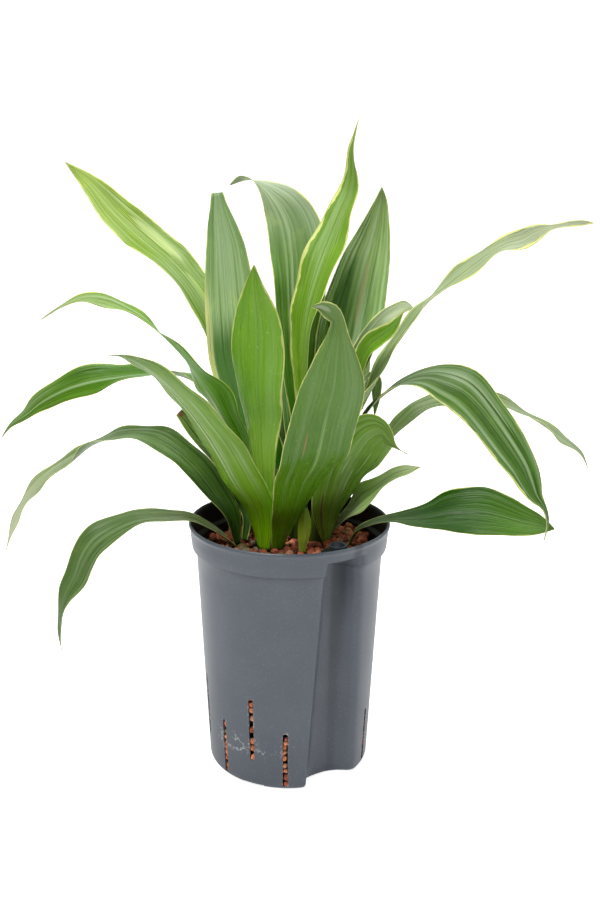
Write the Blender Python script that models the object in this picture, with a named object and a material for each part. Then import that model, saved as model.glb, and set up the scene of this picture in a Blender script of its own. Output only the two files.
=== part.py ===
"""A dracaena with several shoots, standing in the grey pot it was grown in.

Everything is in millimetres here and is scaled to metres as it is built. The origin is the
centre of the pot's underside, +Z is up, and the plant is looked at from -Y. A heading is a
compass angle seen from above: 0 points at the viewer, 90 to the right and 180 away.
"""
import math
import random
from collections import namedtuple

import bmesh
import bpy
import numpy as np
from mathutils import Matrix, Vector

MM = 0.001
GAP = 0.3                       # clearance between pieces that touch

# Pot: a thin moulded culture pot, 150 mm over the rim and 190 mm high
POT_HEIGHT = 190.0
RIM_RADIUS = 74.8
BODY_TOP_RADIUS = 69.4          # the body's outside just under the rim band
BODY_FOOT_RADIUS = 60.8
BAND_FOOT = 171.5               # the rim band's lower edge
BAND_FOOT_RADIUS = 72.6
BAND_TOP_RADIUS = 73.4
WALL = 1.6
FLOOR = 2.4
FOOT_ROUNDING = 4.0
WALL_COLUMNS = 46               # upright lines round the wall, outside the channel

# The gauge channel: an upright groove in the wall, to the right of the front. Its plan runs
# from the left lip at -1 to the right lip at 1 and gives the share of the depth at each place.
CHANNEL_LEFT_FOOT = 12.2        # headings of its lips
CHANNEL_LEFT_TOP = 20.5
CHANNEL_RIGHT_FOOT = 54.0
CHANNEL_RIGHT_TOP = 48.0
CHANNEL_DEPTH_FOOT = 15.5
CHANNEL_DEPTH_TOP = 21.0
CHANNEL_PLAN = ((-1.0, 0.0), (-0.97, 0.2), (-0.91, 0.44), (-0.83, 0.66), (-0.72, 0.8),
                (-0.56, 0.9), (-0.36, 0.97), (-0.1, 1.0), (0.15, 0.98), (0.39, 0.86),
                (0.6, 0.67), (0.76, 0.42), (0.885, 0.17), (1.0, 0.04), (1.15, 0.0))
SHELF_HEIGHT = 181.0            # underside of the shelf that closes the channel
GUIDE_HEADING = 37.1            # the guide ring for the water gauge, on the shelf
GUIDE_REACH = 57.0
GUIDE_RADIUS = 6.6
GUIDE_BORE = 5.0
GUIDE_TOP = 186.5

# Slots: low and high ones by turns round the wall, left out at the channel
SLOT_WIDTH = 3.7
SLOT_LOW = (3.2, 47.3)
SLOT_HIGH = (22.3, 72.6)
SLOT_HEADINGS = (67.5, 91.8, 116.2, 140.5, 164.8, 189.2, 213.5, 237.8, 262.2, 285.8, 311.0,
                 334.6, 358.0)
ARCH_WIDTH = 17.0               # the shallow arch under the foot below each high slot
ARCH_HEIGHT = 2.0

# Clay granules, as one bed with the stems standing in plain holes
CLAY_TOP = 166.5
GRANULE_SIZE = 8.5
GRANULE_RELIEF = 2.6
COLLAR = 3.0                    # the hollow round each stem that the lowest leaves rise from
COLLAR_DEPTH = 6.0
CHANNEL_CLEARANCE = 1.2         # room between the clay and the wall along the channel

PLANT_LEAN = -0.46              # degrees to the right that the plant leans, about a low point
LEAN_HEIGHT = 170.9

BLADE = 0.8                     # thickness of a leaf blade
BLADE_LIFT_SHARE = 0.55         # how far a cupped blade's middle sinks below its path
RIPPLE_LENGTH = 45.0            # length of one wave of a leaf's edge
FACE_LENGTH = 22.0              # length of one face along a leaf
CURVE_STEPS = 12

Stem = namedtuple("Stem", "x y radius foot top top_radius spear")
STEMS = {
    "stem_left": Stem(-14, 3, 9.0, 96, 222, 6.0, 262),
    "stem_back": Stem(6, 30, 9.0, 96, 246, 5.5, 266),
    "stem_right": Stem(23, 17, 7.5, 96, 240, 5.0, 284),
    "shoot_left": Stem(-35, 0, 5.0, 136, 177, 4.0, None),
    "shoot_right": Stem(40, 2, 4.5, 136, 174, 3.5, None),
    "shoot_front": Stem(8.6, -9, 3.0, 136, 176, 2.5, None),
}

# A leaf: its stem, its heading, where its foot sits on the stem, and the stations that its
# midrib passes through. cup is half the angle that the blade is rolled through from edge to
# edge, wave the height of its edge ripple and phase where that ripple starts.
# A station is (reach from the stem's axis, height, blade width, turn[, drift to the left]).
# The turn is about the midrib, in degrees, and raises the edge on the left of the heading.
Leaf = namedtuple("Leaf", "stem heading foot_turn foot_height foot_width cup wave phase stations")
LEAVES = {
    "leaf_front_left": Leaf("stem_left", -45, 0, 167, 14, 22, 1.0, 0.4, [
        (14, 198, 30, 12), (25, 219, 37, 15), (51, 261, 38, 10), (74, 289, 34, 6),
        (92, 307, 27, 8), (109, 320, 18, 15), (126, 329, 9, 20), (141, 332, 1.2, 10)]),
    "leaf_front_broad": Leaf("stem_left", 25, 20, 167, 14, 16, 1.2, 1.0, [
        (22, 198, 33, 14, 7), (41, 228, 43, 4, 6), (68, 253, 47, -9, 3), (89, 286, 44, -24),
        (102, 311, 40, -30), (105, 329, 28, -25), (107, 344, 14, -20), (106, 353, 9, -20),
        (105.5, 358, 11, -25, -4), (105, 361.5, 8, -25, -10), (104, 362, 1.2, -25, -17)]),
    "leaf_front_upright": Leaf("stem_left", -20, 0, 200, 10, 24, 0.6, 2.0, [
        (15, 236, 21, -15), (17, 270, 33, -14), (22, 297, 38, -5), (23, 321, 39, 10),
        (24, 342, 33, 18), (27, 357, 22, 18), (28, 368, 12, 18), (27, 380, 1.2, 15)]),
    "leaf_cut_tip": Leaf("stem_left", -95, -25, 176, 8, 24, 0.5, 0.0, [
        (17, 199, 13, -12, -9), (29, 217, 19, -18, -9), (42, 239, 19, -24, -4), (54, 255, 17, -35),
        (63, 266, 10, -50), (67, 270, 7, -55)]),
    "leaf_left_middle": Leaf("stem_left", -70, -25, 186, 9, 18, 1.6, 2.6, [
        (14, 220, 15, 30, -9), (20, 248, 20, 34, -10), (32, 272, 27, 30, -6), (43, 291, 32, 28),
        (54, 306, 32, 12), (64, 319, 29, 0), (79, 335, 24, -2), (97, 349, 20, -14),
        (116, 358, 17, -30), (130, 360, 12, -14), (146, 355, 7, -8), (159, 347.5, 1.2, -10)]),
    "leaf_left_far": Leaf("stem_back", -100, 0, 188, 11, 18, 1.5, 0.7, [
        (20, 211, 13, -18, 6), (40, 241, 20, -6, 7), (60, 273, 30, 6, 2), (86, 290, 31, 10),
        (112, 292, 30, 0), (142, 288, 30, -26), (157, 285, 29, -42), (174, 280, 26, -58),
        (190, 273, 21, -62), (205, 264, 16, -62), (217, 254, 12, -50), (229, 246, 7, -38),
        (238, 235, 1.2, -35)]),
    "leaf_left_arch": Leaf("shoot_left", -112, -15, 168, 6, 20, 1.5, 2.2, [
        (10, 192, 22, -4), (23, 209, 29, -8), (36, 225, 34, -8), (49, 236, 32, -9),
        (69, 246, 32, -12), (91, 248, 34, -5), (126, 237, 34, -4), (147, 221, 31, -18),
        (168, 207, 27, -28), (191, 184, 20, -42), (202, 167, 15, -46), (210, 149, 9, -46),
        (215, 136, 1.2, -40)]),
    "leaf_left_rim": Leaf("shoot_left", -80, 25, 168, 6, 18, 1.3, 1.4, [
        (14, 177, 11, 2), (29, 188, 17, -2), (38, 193, 22, 0), (48, 195, 28, 2),
        (70, 196, 32, 0), (82, 194, 32, -10), (98, 187, 32, -17), (110, 178, 31, -30),
        (118, 166, 27, -42), (124, 152, 22, -42), (131, 140, 17, -36), (136, 126, 12, -28),
        (138, 112, 7, -20), (137, 95, 1.2, -15)]),
    "leaf_left_high": Leaf("stem_back", -128, 0, 194, 11, 24, 1.0, 0.2, [
        (20, 224, 12, -20, -4), (44, 260, 22, -14, -2), (68, 298, 27, -8), (90, 340, 33, -12),
        (121, 369, 35, -12), (143, 381, 34, -26), (167, 394, 31, -42), (191, 409, 27, -50),
        (215, 427, 17, -52), (246, 445, 1.2, -50)]),
    "leaf_upright_left": Leaf("stem_back", -112, 0, 208, 11, 20, 0.8, 1.1, [
        (22, 234, 22, -25), (38, 263, 33, -38), (50, 297, 40, -52), (53, 328, 40, -58),
        (55, 358, 37, -58), (57, 385, 30, -60), (60, 403, 21, -60), (62, 416, 13, -60),
        (63, 425, 9, -60)]),
    "leaf_back_hook": Leaf("stem_back", -155, -5, 226, 7, 22, 0.8, 0.9, [
        (15, 250, 12, -15, -8), (22, 286, 24, -10, -11), (26, 322, 33, -5, -13),
        (32, 355, 45, 0, -17), (39, 379.5, 46, -5, -19), (47, 402, 43, -12, -18),
        (54, 416.5, 33, -15, -12), (64, 428, 17, 0, -3), (71, 433, 12, 20, 3),
        (79, 434, 7, 25, 10), (85, 429, 1.2, 20, 17)]),
    "leaf_tallest": Leaf("stem_back", 140, 0, 230, 7, 22, 1.0, 2.4, [
        (8, 252, 13, -20), (6, 285, 27, -28), (4, 312, 37, -28), (8, 334, 40, -24),
        (16, 354, 40, -16), (28, 375, 39, -5), (40, 393, 33, 2), (50, 409, 28, -4),
        (60, 424, 23, -8), (64, 437, 19, -16), (64, 449, 14, -24), (65, 459, 10, -32),
        (68, 467, 6, -36), (72, 476, 3, -34), (78, 482, 1.2, -34)]),
    "leaf_back_broad": Leaf("stem_right", 150, 0, 196, 9, 22, 0.8, 0.5, [
        (12, 225, 12, -18, 2), (20, 252, 22, -16, 4), (30, 281, 37, -8, 2),
        (43, 308, 49, 6, 2), (55, 333, 50, 16, 2), (65, 355, 44, 24, 1), (75, 375, 37, 26),
        (85, 390, 28, 26), (93, 405, 18, 26), (98, 417, 10, 26), (99, 427, 1.2, 26)]),
    "leaf_right_high": Leaf("stem_right", 77, 0, 212, 8, 16, 1.4, 0.3, [
        (17, 240, 11, 20), (25, 262, 18, 16), (34, 281, 25, 15), (42, 299, 32, 15),
        (51, 317, 34, 14), (60, 330, 33, 13), (69, 343, 33, 8), (77, 353, 32, 2),
        (86, 361, 30, 11), (105, 376, 25, 24), (127, 392, 19, 30), (140, 396, 18, 42),
        (151, 402, 14, 48), (161, 405, 10, 24), (181, 408, 5, 40), (187, 408, 1.2, 40)]),
    "leaf_right_short": Leaf("stem_right", 60, 0, 218, 7, 26, 0.6, 1.5, [
        (13, 248, 9, 40, 5), (22, 284, 17, 46, 4), (30, 304, 25, 48, 1), (38, 320, 22, 52),
        (48, 328, 16, 62), (58, 336, 10, 66), (66, 348, 1.2, 60)]),
    "leaf_right_pale": Leaf("stem_right", 125, 0, 224, 7, 24, 0.6, 0.2, [
        (14, 252, 9, 10), (28, 296, 12, 25), (46, 321, 13, 35), (60, 333, 12, 45),
        (73, 338, 11, 45), (82, 340, 9, 50), (92, 335, 1.5, 50)]),
    "leaf_hanging_tip": Leaf("stem_right", 106, -18, 206, 5, 24, 0.5, 0.4, [
        (14, 230, 8, 0, 0), (23, 256, 9, -5, 3), (32, 280, 11, -15, 4.5), (39, 293, 15, -20, 3),
        (43, 291, 14, -20), (44, 278, 10, -20), (43, 263, 1.5, -20)]),
    "leaf_young_narrow": Leaf("stem_right", 40, 0, 226, 6, 30, 0.3, 0.4, [
        (16, 247, 8, 10), (27, 264, 10, 10), (43, 282, 11, 10), (53, 294, 8, 10),
        (60, 303, 1.5, 10)]),
    "leaf_right_arch": Leaf("stem_right", 66, 0, 196, 9, 14, 1.0, 1.9, [
        (14, 215, 12, 25), (20, 232, 15, 26), (29, 257, 17, 22), (39, 275, 17, 15),
        (53, 289, 19, 8), (64, 296, 26, 4), (74, 300, 34, 8), (84, 301, 40, 16),
        (96, 298, 42, 28), (108, 293, 41, 33), (118, 285, 38, 34), (136, 264, 31, 43),
        (152, 243, 24, 48), (158, 231, 18, 52), (163, 222, 12, 30), (168, 217, 9, 5),
        (171, 211, 7, 8), (172, 205, 5, 12), (170, 191, 1.2, 12)]),
    "leaf_right_behind": Leaf("stem_right", 100, 0, 180, 9, 18, 1.5, 0.6, [
        (14, 200, 13, 4), (27, 217, 20, 0), (41, 234, 26, -4), (56, 250, 30, -4),
        (66, 261, 30, -2), (75, 268, 30, 4), (90, 272, 30, 7), (111, 273, 30, 9),
        (136, 271, 27, 12), (153, 265, 23, 10), (180, 248, 16, 14), (192, 239, 13, 30),
        (203, 231, 9, 36), (210, 224, 6, 36), (216, 212, 1.2, 30)]),
    "leaf_scarred": Leaf("stem_right", 45, 0, 168, 9, 26, 1.2, 0.0, [
        (12, 197, 34, -10), (22, 222, 42, -25), (36, 243, 42, -45), (50, 259, 38, -58),
        (60, 264, 30, -62), (67, 260, 22, -60), (74, 255, 12, -40), (83, 252, 3, -20)]),
    "leaf_right_low": Leaf("stem_right", 80, 40, 172, 6, 24, 0.9, 1.2, [
        (20, 187, 14, 20, 7), (31, 201, 27, 30, 2), (38, 208, 28, 22), (47, 216, 25, 14),
        (56, 222, 19, 18), (66, 226, 12, 18), (75, 229, 1.2, 18)]),
    "leaf_right_rim": Leaf("shoot_right", 75, 0, 167, 8, 18, 0.9, 0.8, [
        (11, 180, 12, 2), (21, 187, 15, 2), (31, 191.5, 17, 2), (42, 194, 21, 4),
        (53, 195.5, 27, 14), (66, 198, 33, 26), (78, 201.5, 36, 38), (91, 203.5, 36, 52),
        (103, 204, 37, 58), (117, 202, 31, 60), (131, 199, 23, 60), (144, 197, 14, 60),
        (154, 195, 1.2, 60)]),
    "leaf_bud_sheath": Leaf("shoot_front", 30, 0, 168, 6, 50, 0.0, 0.0, [
        (5, 185, 11, -20), (6, 195, 9, -25), (7, 204, 2, -25)]),
    "leaf_rear_middle": Leaf("stem_back", 180, 0, 178, 12, 20, 1.4, 0.3, [
        (18, 212, 14, 5), (38, 258, 24, 10), (70, 300, 34, 5), (110, 321, 40, -5),
        (150, 316, 36, -10), (188, 290, 28, -5), (213, 258, 18, 5), (230, 222, 1.2, 10)]),
    "leaf_rear_left": Leaf("stem_back", -160, 0, 171, 12, 20, 1.4, 1.3, [
        (18, 199, 16, -5), (34, 238, 26, -10), (64, 271, 34, -12), (104, 284, 38, -8),
        (144, 274, 34, 0), (177, 248, 26, 5), (198, 218, 16, 5), (211, 188, 1.2, 5)]),
    "leaf_rear_right": Leaf("stem_right", 166, 0, 174, 10, 20, 1.4, 2.3, [
        (16, 204, 12, 5), (30, 241, 20, 10), (55, 276, 35, 12), (90, 297, 35, 8),
        (125, 294, 30, 0), (150, 276, 22, -5), (166, 253, 13, -5), (175, 230, 1.2, -5)]),
    "leaf_rear_low": Leaf("stem_left", -170, 0, 171, 11, 20, 1.3, 0.9, [
        (17, 184, 14, -8), (33, 197, 19, -10), (62, 212, 28, -12), (98, 215, 29, -15),
        (130, 207, 23, -10), (150, 189, 14, -5), (162, 168, 1.2, 0)]),
    "leaf_rear_side": Leaf("shoot_left", -150, -45, 172, 5, 20, 1.0, 0.4, [
        (10, 188, 8, -5, -9), (26, 206, 16, -8, -7), (50, 217, 23, -10), (70, 215, 16, -8),
        (84, 208, 1.2, -5)]),
}


def smooth(start, end, value):
    """0 below start, 1 above end, and an easy slope between them."""
    t = np.clip((value - start) / (end - start), 0.0, 1.0)
    return t * t * (3.0 - 2.0 * t)


def outward(heading):
    """The level direction of a heading."""
    a = math.radians(heading)
    return Vector((math.sin(a), -math.cos(a), 0.0))


def material(name, colour, roughness):
    """A plain surface with one colour."""
    made = bpy.data.materials.new(name)
    made.use_nodes = True
    shader = made.node_tree.nodes["Principled BSDF"]
    shader.inputs["Base Color"].default_value = (*colour, 1.0)
    shader.inputs["Roughness"].default_value = roughness
    shader.inputs["Metallic"].default_value = 0.0
    return made


def add_object(name, mesh, collection, surface=None):
    """Put a mesh in the scene as a named object."""
    made = bpy.data.objects.new(name, mesh)
    collection.objects.link(made)
    if surface:
        mesh.materials.append(surface)
    return made


def mesh_from_bmesh(name, bm, scale=MM):
    """Scale a bmesh to metres, face it outward and turn it into a mesh."""
    bmesh.ops.scale(bm, vec=(scale, scale, scale), verts=bm.verts)
    bmesh.ops.recalc_face_normals(bm, faces=bm.faces)
    mesh = bpy.data.meshes.new(name)
    bm.to_mesh(mesh)
    bm.free()
    return mesh


def shade(mesh, angle=40.0):
    """Smooth shading with crisp edges."""
    mesh.shade_smooth()
    mesh.set_sharp_from_angle(angle=math.radians(angle))


def boolean(target, tool, operation):
    """Cut or join with a tool object, at once."""
    modifier = target.modifiers.new(operation.lower(), "BOOLEAN")
    modifier.operation = operation
    modifier.solver = "EXACT"
    modifier.object = tool
    bpy.context.view_layer.update()
    depsgraph = bpy.context.evaluated_depsgraph_get()
    result = bpy.data.meshes.new_from_object(target.evaluated_get(depsgraph))
    target.modifiers.clear()
    target.data = result


def as_cutter(made):
    """Mark an object as a cutter."""
    made.hide_render = True
    made.display_type = "WIRE"
    return made


def cylinder(bm, radius, low, high, x=0.0, y=0.0, top_radius=None, sides=16):
    """Add an upright cylinder or cone to a bmesh."""
    place = Matrix.Translation((x, y, (low + high) / 2.0))
    bmesh.ops.create_cone(bm, cap_ends=True, segments=sides, radius1=radius,
                          radius2=radius if top_radius is None else top_radius,
                          depth=high - low, matrix=place)


def lean():
    """The plant's slight lean, as a matrix."""
    foot = Matrix.Translation((0.0, 0.0, LEAN_HEIGHT))
    return foot @ Matrix.Rotation(math.radians(PLANT_LEAN), 4, "Y") @ foot.inverted()


def body_radius(height):
    """Outside radius of the tapered body."""
    share = min(height / BAND_FOOT, 1.0)
    return BODY_FOOT_RADIUS + (BODY_TOP_RADIUS - BODY_FOOT_RADIUS) * share


def plan(radius, height, follow=1.0):
    """Points round the pot at one height. follow is the share of the channel's depth."""
    share = height / BAND_FOOT
    left = CHANNEL_LEFT_FOOT + (CHANNEL_LEFT_TOP - CHANNEL_LEFT_FOOT) * share
    right = CHANNEL_RIGHT_FOOT + (CHANNEL_RIGHT_TOP - CHANNEL_RIGHT_FOOT) * share
    depth = CHANNEL_DEPTH_FOOT + (CHANNEL_DEPTH_TOP - CHANNEL_DEPTH_FOOT) * share
    middle, half = (left + right) / 2.0, (right - left) / 2.0
    places = [(middle + half * g, depth * f * follow) for g, f in CHANNEL_PLAN]
    end = places[-1][0]
    span = places[0][0] + 360.0 - end
    places += [(end + span * i / WALL_COLUMNS, 0.0) for i in range(1, WALL_COLUMNS)]
    return [outward(heading) * (radius - push) for heading, push in places]


def inset(points, room, channel_room=None):
    """The same points moved to the inside of their outline, with more room at the channel."""
    moved = []
    for i, here in enumerate(points):
        before = (here - points[i - 1]).normalized()
        after = (points[(i + 1) % len(points)] - here).normalized()
        way = (before + after).normalized()
        inward = Vector((-way.y, way.x, 0.0))
        stretch = 1.0 / max(inward.dot(Vector((-before.y, before.x, 0.0))), 0.6)
        near_channel = i < len(CHANNEL_PLAN) + 1 or i == len(points) - 1
        distance = channel_room if channel_room and near_channel else room
        moved.append(here + inward * distance * stretch)
    return moved


def raised(points, height):
    """Level points at a height."""
    return [p + Vector((0.0, 0.0, height)) for p in points]


def pot_rings():
    """The pot's skin as rings: up the outside, over the lip and down the inside."""
    rings = []
    for indent, height in ((FOOT_ROUNDING, 0.0), (1.2, 1.2)):
        follow = 1.0 - 0.6 * indent / CHANNEL_DEPTH_FOOT
        rings.append(raised(plan(BODY_FOOT_RADIUS - indent, height, follow), height))
    for height in (FOOT_ROUNDING, 45.0, 90.0, 135.0, BAND_FOOT):
        rings.append(raised(plan(body_radius(height), height), height))
    band_foot = plan(BAND_FOOT_RADIUS, BAND_FOOT)
    band_top = plan(BAND_TOP_RADIUS, SHELF_HEIGHT - 0.6)
    rings.append(raised(band_foot, BAND_FOOT))
    rings.append(raised(band_top, SHELF_HEIGHT - 0.6))
    for radius, height in ((BAND_TOP_RADIUS, SHELF_HEIGHT + 0.2), (RIM_RADIUS - 1.0, 186.2),
                           (RIM_RADIUS, POT_HEIGHT - 1.6), (RIM_RADIUS - 0.6, POT_HEIGHT),
                           (RIM_RADIUS - 1.8, POT_HEIGHT), (RIM_RADIUS - 2.6, POT_HEIGHT - 2.0),
                           (RIM_RADIUS - 3.2, SHELF_HEIGHT + 3.4)):
        rings.append(raised(plan(radius, SHELF_HEIGHT, 0.0), height))
    rings.append(raised(inset(band_top, WALL), SHELF_HEIGHT + 2.4))
    rings.append(raised(inset(band_foot, WALL), BAND_FOOT + 2.2))
    for height in (BAND_FOOT + 0.6, 135.0, 90.0, 45.0, FLOOR + 3.0):
        rings.append(raised(inset(plan(body_radius(height), height), WALL), height))
    floor = plan(body_radius(FLOOR), FLOOR)
    rings.append(raised(inset(floor, WALL + 2.6), FLOOR))
    return rings


def ring_loft(rings):
    """A closed skin through rings that stand round an upright axis."""
    bm = bmesh.new()
    rows = [[bm.verts.new(p) for p in ring] for ring in rings]
    for low, high in zip(rows[:-1], rows[1:]):
        for i in range(len(low)):
            j = (i + 1) % len(low)
            bm.faces.new((low[i], low[j], high[j], high[i]))
    for row in (rows[0], rows[-1]):
        middle = bm.verts.new((0.0, 0.0, row[0].co.z))
        for i in range(len(row)):
            bm.faces.new((middle, row[i], row[(i + 1) % len(row)]))
    return bm


def slot_cutter(bm, heading, low, high):
    """Add one round-topped slot cutter through the wall at a heading."""
    half = SLOT_WIDTH / 2.0
    steps = 4
    outline = [(-half, low), (half, low)]
    for i in range(steps + 1):
        a = math.pi * i / steps
        outline.append((half * math.cos(a), high - half + half * math.sin(a)))
    way = outward(heading)
    side = Vector((-way.y, way.x, 0.0))
    inner = [bm.verts.new(way * 54.0 + side * s + Vector((0, 0, z))) for s, z in outline]
    face = bm.faces.new(inner)
    grown = bmesh.ops.extrude_face_region(bm, geom=[face])
    moved = [v for v in grown["geom"] if isinstance(v, bmesh.types.BMVert)]
    bmesh.ops.translate(bm, vec=way * 22.0, verts=moved)


def build_pot(collection, cutters, surface):
    """The culture pot: body, rim band, gauge channel, guide ring, slots and foot arches."""
    bm = ring_loft(pot_rings())
    pot = add_object("pot", mesh_from_bmesh("pot", bm), collection, surface)

    place = outward(GUIDE_HEADING) * GUIDE_REACH
    bm = bmesh.new()
    cylinder(bm, GUIDE_RADIUS, SHELF_HEIGHT + 1.0, GUIDE_TOP, place.x, place.y)
    ring = as_cutter(add_object("guide_ring", mesh_from_bmesh("guide_ring", bm), cutters))
    boolean(pot, ring, "UNION")

    bm = bmesh.new()
    cylinder(bm, GUIDE_BORE, SHELF_HEIGHT - 1.5, GUIDE_TOP + 5.0, place.x, place.y)
    bore = as_cutter(add_object("guide_bore", mesh_from_bmesh("guide_bore", bm), cutters))
    boolean(pot, bore, "DIFFERENCE")

    bm = bmesh.new()
    for i, heading in enumerate(SLOT_HEADINGS):
        low, high = SLOT_LOW if i % 2 == 0 else SLOT_HIGH
        slot_cutter(bm, heading, low, high)
    slots = as_cutter(add_object("slots", mesh_from_bmesh("slots", bm), cutters))
    boolean(pot, slots, "DIFFERENCE")

    bm = bmesh.new()
    for heading in SLOT_HEADINGS[1::2]:
        way = outward(heading)
        turn = Matrix.Rotation(math.radians(heading), 4, "Z")
        place = Matrix.Translation(way * (BODY_FOOT_RADIUS + 5.0)) @ turn
        size = Matrix.Diagonal((ARCH_WIDTH, 20.0, ARCH_HEIGHT * 2.0, 1.0))
        bmesh.ops.create_cube(bm, size=1.0, matrix=place @ size)
    arches = as_cutter(add_object("foot_arches", mesh_from_bmesh("foot_arches", bm), cutters))
    boolean(pot, arches, "DIFFERENCE")
    shade(pot.data, 35.0)
    return pot


def granule_relief():
    """A function giving the clay's relief at a place: domes on a jittered grid."""
    draw = random.Random(7)
    centres = []
    steps = int(RIM_RADIUS / GRANULE_SIZE) + 1
    for i in range(-steps, steps + 1):
        for j in range(-steps, steps + 1):
            x = (i + 0.5 * (j % 2) + draw.uniform(-0.25, 0.25)) * GRANULE_SIZE
            y = (j * 0.87 + draw.uniform(-0.25, 0.25)) * GRANULE_SIZE
            centres.append((x, y, draw.uniform(-0.4, 0.4)))

    def height(x, y):
        best = -1.0
        for cx, cy, extra in centres:
            distance = math.hypot(x - cx, y - cy) / (GRANULE_SIZE * 0.62)
            if distance < 1.0:
                best = max(best, math.sqrt(1.0 - distance * distance) + extra - 0.5)
        return best * GRANULE_RELIEF

    return height


def build_clay(collection, cutters, surface):
    """The bed of clay granules: fills the pot up to its bumpy top, clear of the wall."""
    relief = granule_relief()
    rings = []
    for height, extra in ((FLOOR + GAP, 2.8), (FLOOR + 3.0, 0.0), (45.0, 0.0), (90.0, 0.0),
                          (135.0, 0.0)):
        outline = plan(body_radius(height), height)
        rings.append(raised(inset(outline, WALL + GAP + extra,
                                  WALL + CHANNEL_CLEARANCE + extra), height))
    outline = plan(body_radius(CLAY_TOP), CLAY_TOP)
    edge = inset(outline, WALL + GAP, WALL + CHANNEL_CLEARANCE)
    steps = 11
    for step in range(steps, 0, -1):
        ring = []
        for point in edge:
            spot = point * (step / steps)
            rise = relief(spot.x, spot.y) - (1.5 if step == steps else 0.0)
            ring.append(spot + Vector((0.0, 0.0, CLAY_TOP + rise)))
        rings.append(ring)
    bm = ring_loft(rings)
    clay = add_object("clay_granules", mesh_from_bmesh("clay_granules", bm), collection, surface)

    for name, stem in STEMS.items():
        bm = bmesh.new()
        cylinder(bm, stem.radius + GAP, stem.foot - GAP, CLAY_TOP + 20.0, stem.x, stem.y)
        bmesh.ops.transform(bm, matrix=lean(), verts=bm.verts)
        hole = as_cutter(add_object(name + "_hole", mesh_from_bmesh(name + "_hole", bm), cutters))
        boolean(clay, hole, "DIFFERENCE")
        bm = bmesh.new()
        cylinder(bm, stem.radius + COLLAR, CLAY_TOP - COLLAR_DEPTH, CLAY_TOP + 20.0, stem.x, stem.y)
        bmesh.ops.transform(bm, matrix=lean(), verts=bm.verts)
        collar = as_cutter(add_object(name + "_collar", mesh_from_bmesh(name + "_collar", bm), cutters))
        boolean(clay, collar, "DIFFERENCE")
    return clay


def stem_radius(stem, height):
    """A stem's radius at a height: it tapers above the clay."""
    share = min(max((height - CLAY_TOP) / (stem.top - CLAY_TOP), 0.0), 1.0)
    return stem.radius + (stem.top_radius - stem.radius) * share


def build_stem(name, stem, collection, surface):
    """A short stem that stands in its hole in the clay."""
    bm = bmesh.new()
    sides = 12
    levels = [(stem.foot, stem.radius), (CLAY_TOP, stem.radius), (stem.top, stem.top_radius)]
    circles = []
    for height, radius in levels:
        circle = bmesh.ops.create_circle(bm, segments=sides, radius=radius,
                                         matrix=Matrix.Translation((stem.x, stem.y, height)))
        circles.append(circle["verts"])
    for low, high in zip(circles[:-1], circles[1:]):
        for i in range(sides):
            j = (i + 1) % sides
            bm.faces.new((low[i], low[j], high[j], high[i]))
    bm.faces.new(circles[0])
    bm.faces.new(circles[-1])
    bmesh.ops.transform(bm, matrix=lean(), verts=bm.verts)
    made = add_object(name, mesh_from_bmesh(name, bm), collection, surface)
    shade(made.data)
    return made


def build_spear(name, stem, collection, surface):
    """The rolled youngest leaf, which stands on the top of a stem."""
    bm = bmesh.new()
    low = stem.top + GAP
    middle = low + 0.45 * (stem.spear - low)
    cylinder(bm, stem.top_radius * 0.8, low, middle, stem.x, stem.y, 4.0, sides=8)
    for vert in bm.verts:
        vert.co.z = min(vert.co.z, middle)
    top = [f for f in bm.faces if all(v.co.z > middle - 0.01 for v in f.verts)]
    grown = bmesh.ops.extrude_face_region(bm, geom=top)
    verts = [v for v in grown["geom"] if isinstance(v, bmesh.types.BMVert)]
    bmesh.ops.delete(bm, geom=top, context="FACES_ONLY")
    for vert in verts:
        vert.co.x = stem.x + (vert.co.x - stem.x) * 0.15
        vert.co.y = stem.y + (vert.co.y - stem.y) * 0.15
        vert.co.z = stem.spear
    bmesh.ops.transform(bm, matrix=lean(), verts=bm.verts)
    made = add_object(name, mesh_from_bmesh(name, bm), collection, surface)
    shade(made.data)
    return made


def curve_through(stations, count):
    """Evenly spaced points on a smooth curve through stations: x, y, z and any values."""
    given = np.array(stations, float)
    given = np.vstack([2 * given[0] - given[1], given, 2 * given[-1] - given[-2]])
    steps = np.linspace(0.0, 1.0, CURVE_STEPS, endpoint=False)[:, None]
    pieces = []
    for i in range(1, len(given) - 2):
        before, start, end, after = given[i - 1:i + 3]
        gaps = [max(np.linalg.norm(b[:3] - a[:3]), 1e-6) ** 0.5
                for a, b in ((before, start), (start, end), (end, after))]
        leave = (end - start) / gaps[1] - (end - before) / (gaps[0] + gaps[1]) \
            + (start - before) / gaps[0]
        arrive = (after - end) / gaps[2] - (after - start) / (gaps[1] + gaps[2]) \
            + (end - start) / gaps[1]
        leave, arrive = leave * gaps[1], arrive * gaps[1]
        t = steps
        pieces.append((2 * t**3 - 3 * t**2 + 1) * start + (t**3 - 2 * t**2 + t) * leave
                      + (3 * t**2 - 2 * t**3) * end + (t**3 - t**2) * arrive)
    dense = np.vstack(pieces + [given[-2:-1]])
    lengths = np.linalg.norm(np.diff(dense[:, :3], axis=0), axis=1)
    run = np.concatenate([[0.0], np.cumsum(lengths)])
    wanted = np.linspace(0.0, run[-1], count)
    columns = [np.interp(wanted, run, dense[:, k]) for k in range(dense.shape[1])]
    return np.stack(columns, axis=1), wanted


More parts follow.
